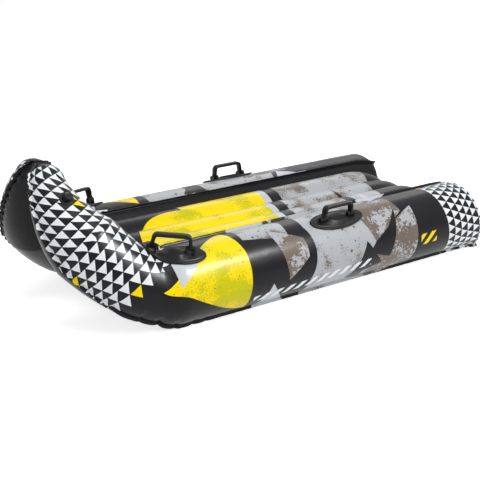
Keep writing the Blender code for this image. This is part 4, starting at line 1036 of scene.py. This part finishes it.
def grip_path():
    """Middle line of a grip: up from one pivot, along the bar and down to the other."""
    corner = TOP_SPAN / 2 - GRIP_BAR / 2
    lean = math.atan2(FOOT_PLACE - corner, GRIP_TOP)
    bend_x = GRIP_CORNER * math.tan((math.pi / 2 - lean) / 2) - corner
    bend_z = GRIP_TOP - GRIP_CORNER
    leg_x, leg_z = bend_x - GRIP_CORNER * math.cos(lean), bend_z + GRIP_CORNER * math.sin(lean)
    path = [(-FOOT_PLACE + (leg_x + FOOT_PLACE) * k / LEG_STEPS, leg_z * k / LEG_STEPS)
            for k in range(LEG_STEPS)]
    for k in range(CORNER_STEPS + 1):
        turn = math.pi - lean - (math.pi / 2 - lean) * k / CORNER_STEPS
        path.append((bend_x + GRIP_CORNER * math.cos(turn), bend_z + GRIP_CORNER * math.sin(turn)))
    path += [(bend_x * (1 - k / BAR_STEPS), GRIP_TOP) for k in range(1, BAR_STEPS)]
    return path + [(0.0, GRIP_TOP)] + [(-x, z) for x, z in reversed(path)]


def grip_mesh(pivot):
    """Flat-strip loop whose legs thicken and narrow to the pivots, and the round knuckles there."""
    path = grip_path()
    rings = []
    for index, (x, z) in enumerate(path):
        before, after = path[max(index - 1, 0)], path[min(index + 1, len(path) - 1)]
        run = Vector((after[0] - before[0], after[1] - before[1])).normalized()
        flare = max(1 - z / (GRIP_TOP * FLARE_SHARE), 0) ** FLARE_POWER
        waist = max(1 - z / (GRIP_TOP * WAIST_SHARE), 0)
        thick = GRIP_BAR + (FOOT_LENGTH - GRIP_BAR) * flare
        wide = GRIP_WIDTH + (2 * KNUCKLE_RADIUS - GRIP_WIDTH) * waist
        ring = []
        for quarter, (across, beside) in enumerate(((1, 1), (-1, 1), (-1, -1), (1, -1))):
            for k in range(EDGE_STEPS + 1):
                turn = math.pi / 2 * (quarter + k / EDGE_STEPS)
                off = across * (thick / 2 - GRIP_EDGE) + GRIP_EDGE * math.cos(turn)
                y = beside * (wide / 2 - GRIP_EDGE) + GRIP_EDGE * math.sin(turn)
                ring.append(pivot @ Vector((x + run.y * off, y, z - run.x * off)))
        rings.append(ring)
    knuckles = []
    half = FOOT_LENGTH / 2
    turns = [2 * math.pi * k / KNUCKLE_POINTS for k in range(KNUCKLE_POINTS)]
    for middle in (-FOOT_PLACE, FOOT_PLACE):
        discs = []
        for u, r in ((-half, KNUCKLE_RADIUS - SOFT_EDGE), (SOFT_EDGE - half, KNUCKLE_RADIUS),
                     (half - SOFT_EDGE, KNUCKLE_RADIUS), (half, KNUCKLE_RADIUS - SOFT_EDGE)):
            discs.append([pivot @ Vector((middle + u, r * math.cos(t), r * math.sin(t)))
                          for t in turns])
        knuckles.append(ringed(discs))
    return joined(ringed(rings), *knuckles)


def make_valve(word, place, soft, hard):
    """Welded flange and ribbed screw cap over the CAD neck."""
    turn = 2 * np.pi * np.arange(RING_POINTS) / RING_POINTS
    points, faces = ringed([list(place(radius * np.cos(turn), radius * np.sin(turn), height))
                            for radius, height in FLANGE_TURNING])
    # The hole stays open: no end faces, and the last ring joins the first.
    faces = [face for face in faces if len(face) < RING_POINTS]
    last = len(points) - RING_POINTS
    faces += [(k, (k + 1) % RING_POINTS, last + (k + 1) % RING_POINTS, last + k)
              for k in range(RING_POINTS)]
    flange = piece(word + "_welded_flange", points, faces, soft, "sled",
                   "welded_black_plastic", word + "_valve_flange")
    turned_out(flange)
    ahead = Vector(place(FLANGE_RADIUS, 0, 0) - place(-FLANGE_RADIUS, 0, 0)).normalized()
    around = Vector(place(0, FLANGE_RADIUS, 0) - place(0, -FLANGE_RADIUS, 0))
    up = ahead.cross(around).normalized()
    neck = stood(ahead, up.cross(ahead), up, place(0, 0, 0))
    count = CAP_RIBS * RIB_POINTS
    rings, turns = [], [2 * math.pi * k / count for k in range(count)]
    for radius, height, rib in CAP_TURNING:
        reaches = [radius - rib * (0.5 - 0.5 * math.cos(CAP_RIBS * t)) ** 2 for t in turns]
        rings.append([neck @ Vector((r * math.cos(t), r * math.sin(t), height))
                      for r, t in zip(reaches, turns)])
    cap = piece(word + "_ribbed_cap", *ringed(rings), hard, word + "_cap",
                "moulded_black_plastic", word + "_valve_cap")
    turned_out(cap)


def looking_rays(tree):
    """1 for rays that see the background: of the camera, in a gloss or through a clear piece."""
    path = add(tree, "LightPath")
    either = add(tree, "Math", {"operation": "MAXIMUM"},
                 {0: path.outputs["Is Camera Ray"], 1: path.outputs["Is Glossy Ray"]})
    return add(tree, "Math", {"operation": "MAXIMUM"},
               {0: either, 1: path.outputs["Is Transmission Ray"]})


# Softboxes: where each stands, what it faces, its size in metres and its watts. The gloss strip
# shows only as the long highlight on the near tube, and adds no light to any colour.
LAMPS = {"top_softbox": ((-0.2, -0.6, 2.6), (0, 0, 0), (2.4, 1.4), 34),
         "gloss_strip": ((0.60, -1.35, 1.45), (-0.3, -0.3, 0.12), (0.5, 0.10), 60),
         "side_softbox": ((0.5, -2.2, 1.5), (0.1, -0.2, 0.1), (1.6, 1.0), 20),
         "front_softbox": ((-2.6, -1.2, 1.3), (-0.3, 0, 0.1), (1.4, 1.4), 12),
         "rear_strip": ((1.8, 1.8, 1.6), (0.2, 0, 0.1), (1.8, 0.6), 9)}
STAGE_REACH, STAGE_POINTS, STAGE_DROP = 14.0, 96, 0.0004
STAGE_GLOW = 0.72             # with what the lamps add, the card is seen as white
WORLD_LIGHT = 0.28            # what the surroundings give, though they are seen as white


def make_stage():
    """A white card floor that keeps the shadow, in white surroundings."""
    tree, shader, material = finish("matt_white_card", {
        "Roughness": 0.9, "Specular IOR Level": 0.1, "Base Color": linear("#f7f7f7"),
        "Emission Color": linear("#ffffff")})
    glow = add(tree, "MapRange", {"To Min": 0.0, "To Max": STAGE_GLOW},
               {"Value": looking_rays(tree)})
    tree.links.new(glow.outputs[0], shader.inputs["Emission Strength"])
    mesh = bpy.data.meshes.new("studio_floor")
    turns = [2 * math.pi * k / STAGE_POINTS for k in range(STAGE_POINTS)]
    mesh.from_pydata([(STAGE_REACH * math.cos(t), STAGE_REACH * math.sin(t), 0) for t in turns],
                     [], [tuple(range(STAGE_POINTS))])
    mesh.materials.append(material)
    floor = bpy.data.objects.new("studio_floor", mesh)
    floor.location.z = -STAGE_DROP
    bpy.context.collection.objects.link(floor)
    world = bpy.data.worlds.new("studio")
    bpy.context.scene.world = world
    world.use_nodes = True
    back = world.node_tree.nodes["Background"]
    seen = add(world.node_tree, "MapRange", {"To Min": WORLD_LIGHT, "To Max": 1.0},
               {"Value": looking_rays(world.node_tree)})
    back.inputs["Color"].default_value = linear("#ffffff")
    world.node_tree.links.new(seen.outputs[0], back.inputs["Strength"])


def make_lamps():
    """The softboxes around the sled."""
    for name, (place, aim, size, watts) in LAMPS.items():
        lamp = bpy.data.lights.new(name, "AREA")
        lamp.shape = "RECTANGLE"
        lamp.size, lamp.size_y = size
        lamp.energy = watts
        box = bpy.data.objects.new(name, lamp)
        box.location = place
        box.rotation_euler = (Vector(place) - Vector(aim)).to_track_quat("Z", "Y").to_euler()
        box.visible_diffuse = name != "gloss_strip"
        bpy.context.collection.objects.link(box)


CAMERA_PLACE = (-1.6965, -2.3057, 1.0758)
CAMERA_AZIMUTH, CAMERA_ELEVATION = math.radians(-36.18), math.radians(19.11)
FILM_WIDTH, FOCAL_PIXELS, PHOTO_PIXELS = 36, 1051.8, 480


def make_camera():
    """A camera where the photograph was taken from."""
    sideways = math.cos(CAMERA_ELEVATION)
    back = Vector((math.sin(CAMERA_AZIMUTH) * sideways, -math.cos(CAMERA_AZIMUTH) * sideways,
                   math.sin(CAMERA_ELEVATION)))
    right = Vector((math.cos(CAMERA_AZIMUTH), math.sin(CAMERA_AZIMUTH), 0))
    lens = bpy.data.cameras.new("camera")
    lens.sensor_width, lens.lens = FILM_WIDTH, FILM_WIDTH * FOCAL_PIXELS / PHOTO_PIXELS
    camera = bpy.data.objects.new("camera", lens)
    camera.matrix_world = stood(right, back.cross(right), back, CAMERA_PLACE)
    bpy.context.collection.objects.link(camera)
    bpy.context.scene.camera = camera


# Moulded plastics: darkest and lightest colour, roughness, grain in millimetres, and IOR. A mould's
# spark grain is about 0.1 mm. It is drawn at 0.9 to 1.2 mm, or it wouldn't show.
MOULDED = {
    # Injection moulded and welded to the sheet: black and rubbery, its light spread wide
    "moulded_soft_pvc": ("#101012", "#151517", 0.42, 1.2, 1.50),
    # Injection moulded, hard: a deeper black with a tighter sheen along its edges
    "moulded_black_polypropylene": ("#0b0b0c", "#101011", 0.36, 0.9, 1.49),
    # Compression moulded: dark grey and dull, inside the valves
    "moulded_grey_silicone": ("#3a3b3d", "#444548", 0.55, 1.0, 1.41)}
# The two sides' prints: shift along the tube, nose end, start of the rear band, seed
TUBE_PRINTS = {"left": (0.0, 0.400, 0.0, 1), "right": (0.02, 0.36, 0.14, 3)}


def main():
    """The studio, then the sheets, the handles and the valves, and the CAD nodes that stay."""
    make_camera()
    make_stage()
    make_lamps()
    plain, web = black_pvc(), grey_web_pvc()
    soft, hard, rubber = [moulded(name, *look) for name, look in MOULDED.items()]
    for word, side in SIDES.items():
        printed = tube_print(f"printed_{word}_pvc", *TUBE_PRINTS[word])
        make_tube(word, side, printed, plain)
    make_floor(floor_print(), plain, web)
    for word, side in SIDES.items():
        for end in HANDLES:
            make_handle(word, end, side, soft, hard)

        def place(u, v, height, side=side):
            return laid(side, VALVE_S, VALVE_ANGLE, 0.0, u, v, height)

        make_valve(word + "_tube", place, soft, hard)
    make_valve("floor", on_floor, soft, hard)
    for name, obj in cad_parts.items():
        for endings, kept in ((("_pin", "_valve_body"), hard), (("_flap", "_cap_seal"), rubber)):
            if name.endswith(endings):
                obj.data.materials.clear()
                obj.data.materials.append(kept)


main()
bpy.context.view_layer.update()
bpy.context.scene.view_settings.view_transform = "Standard"
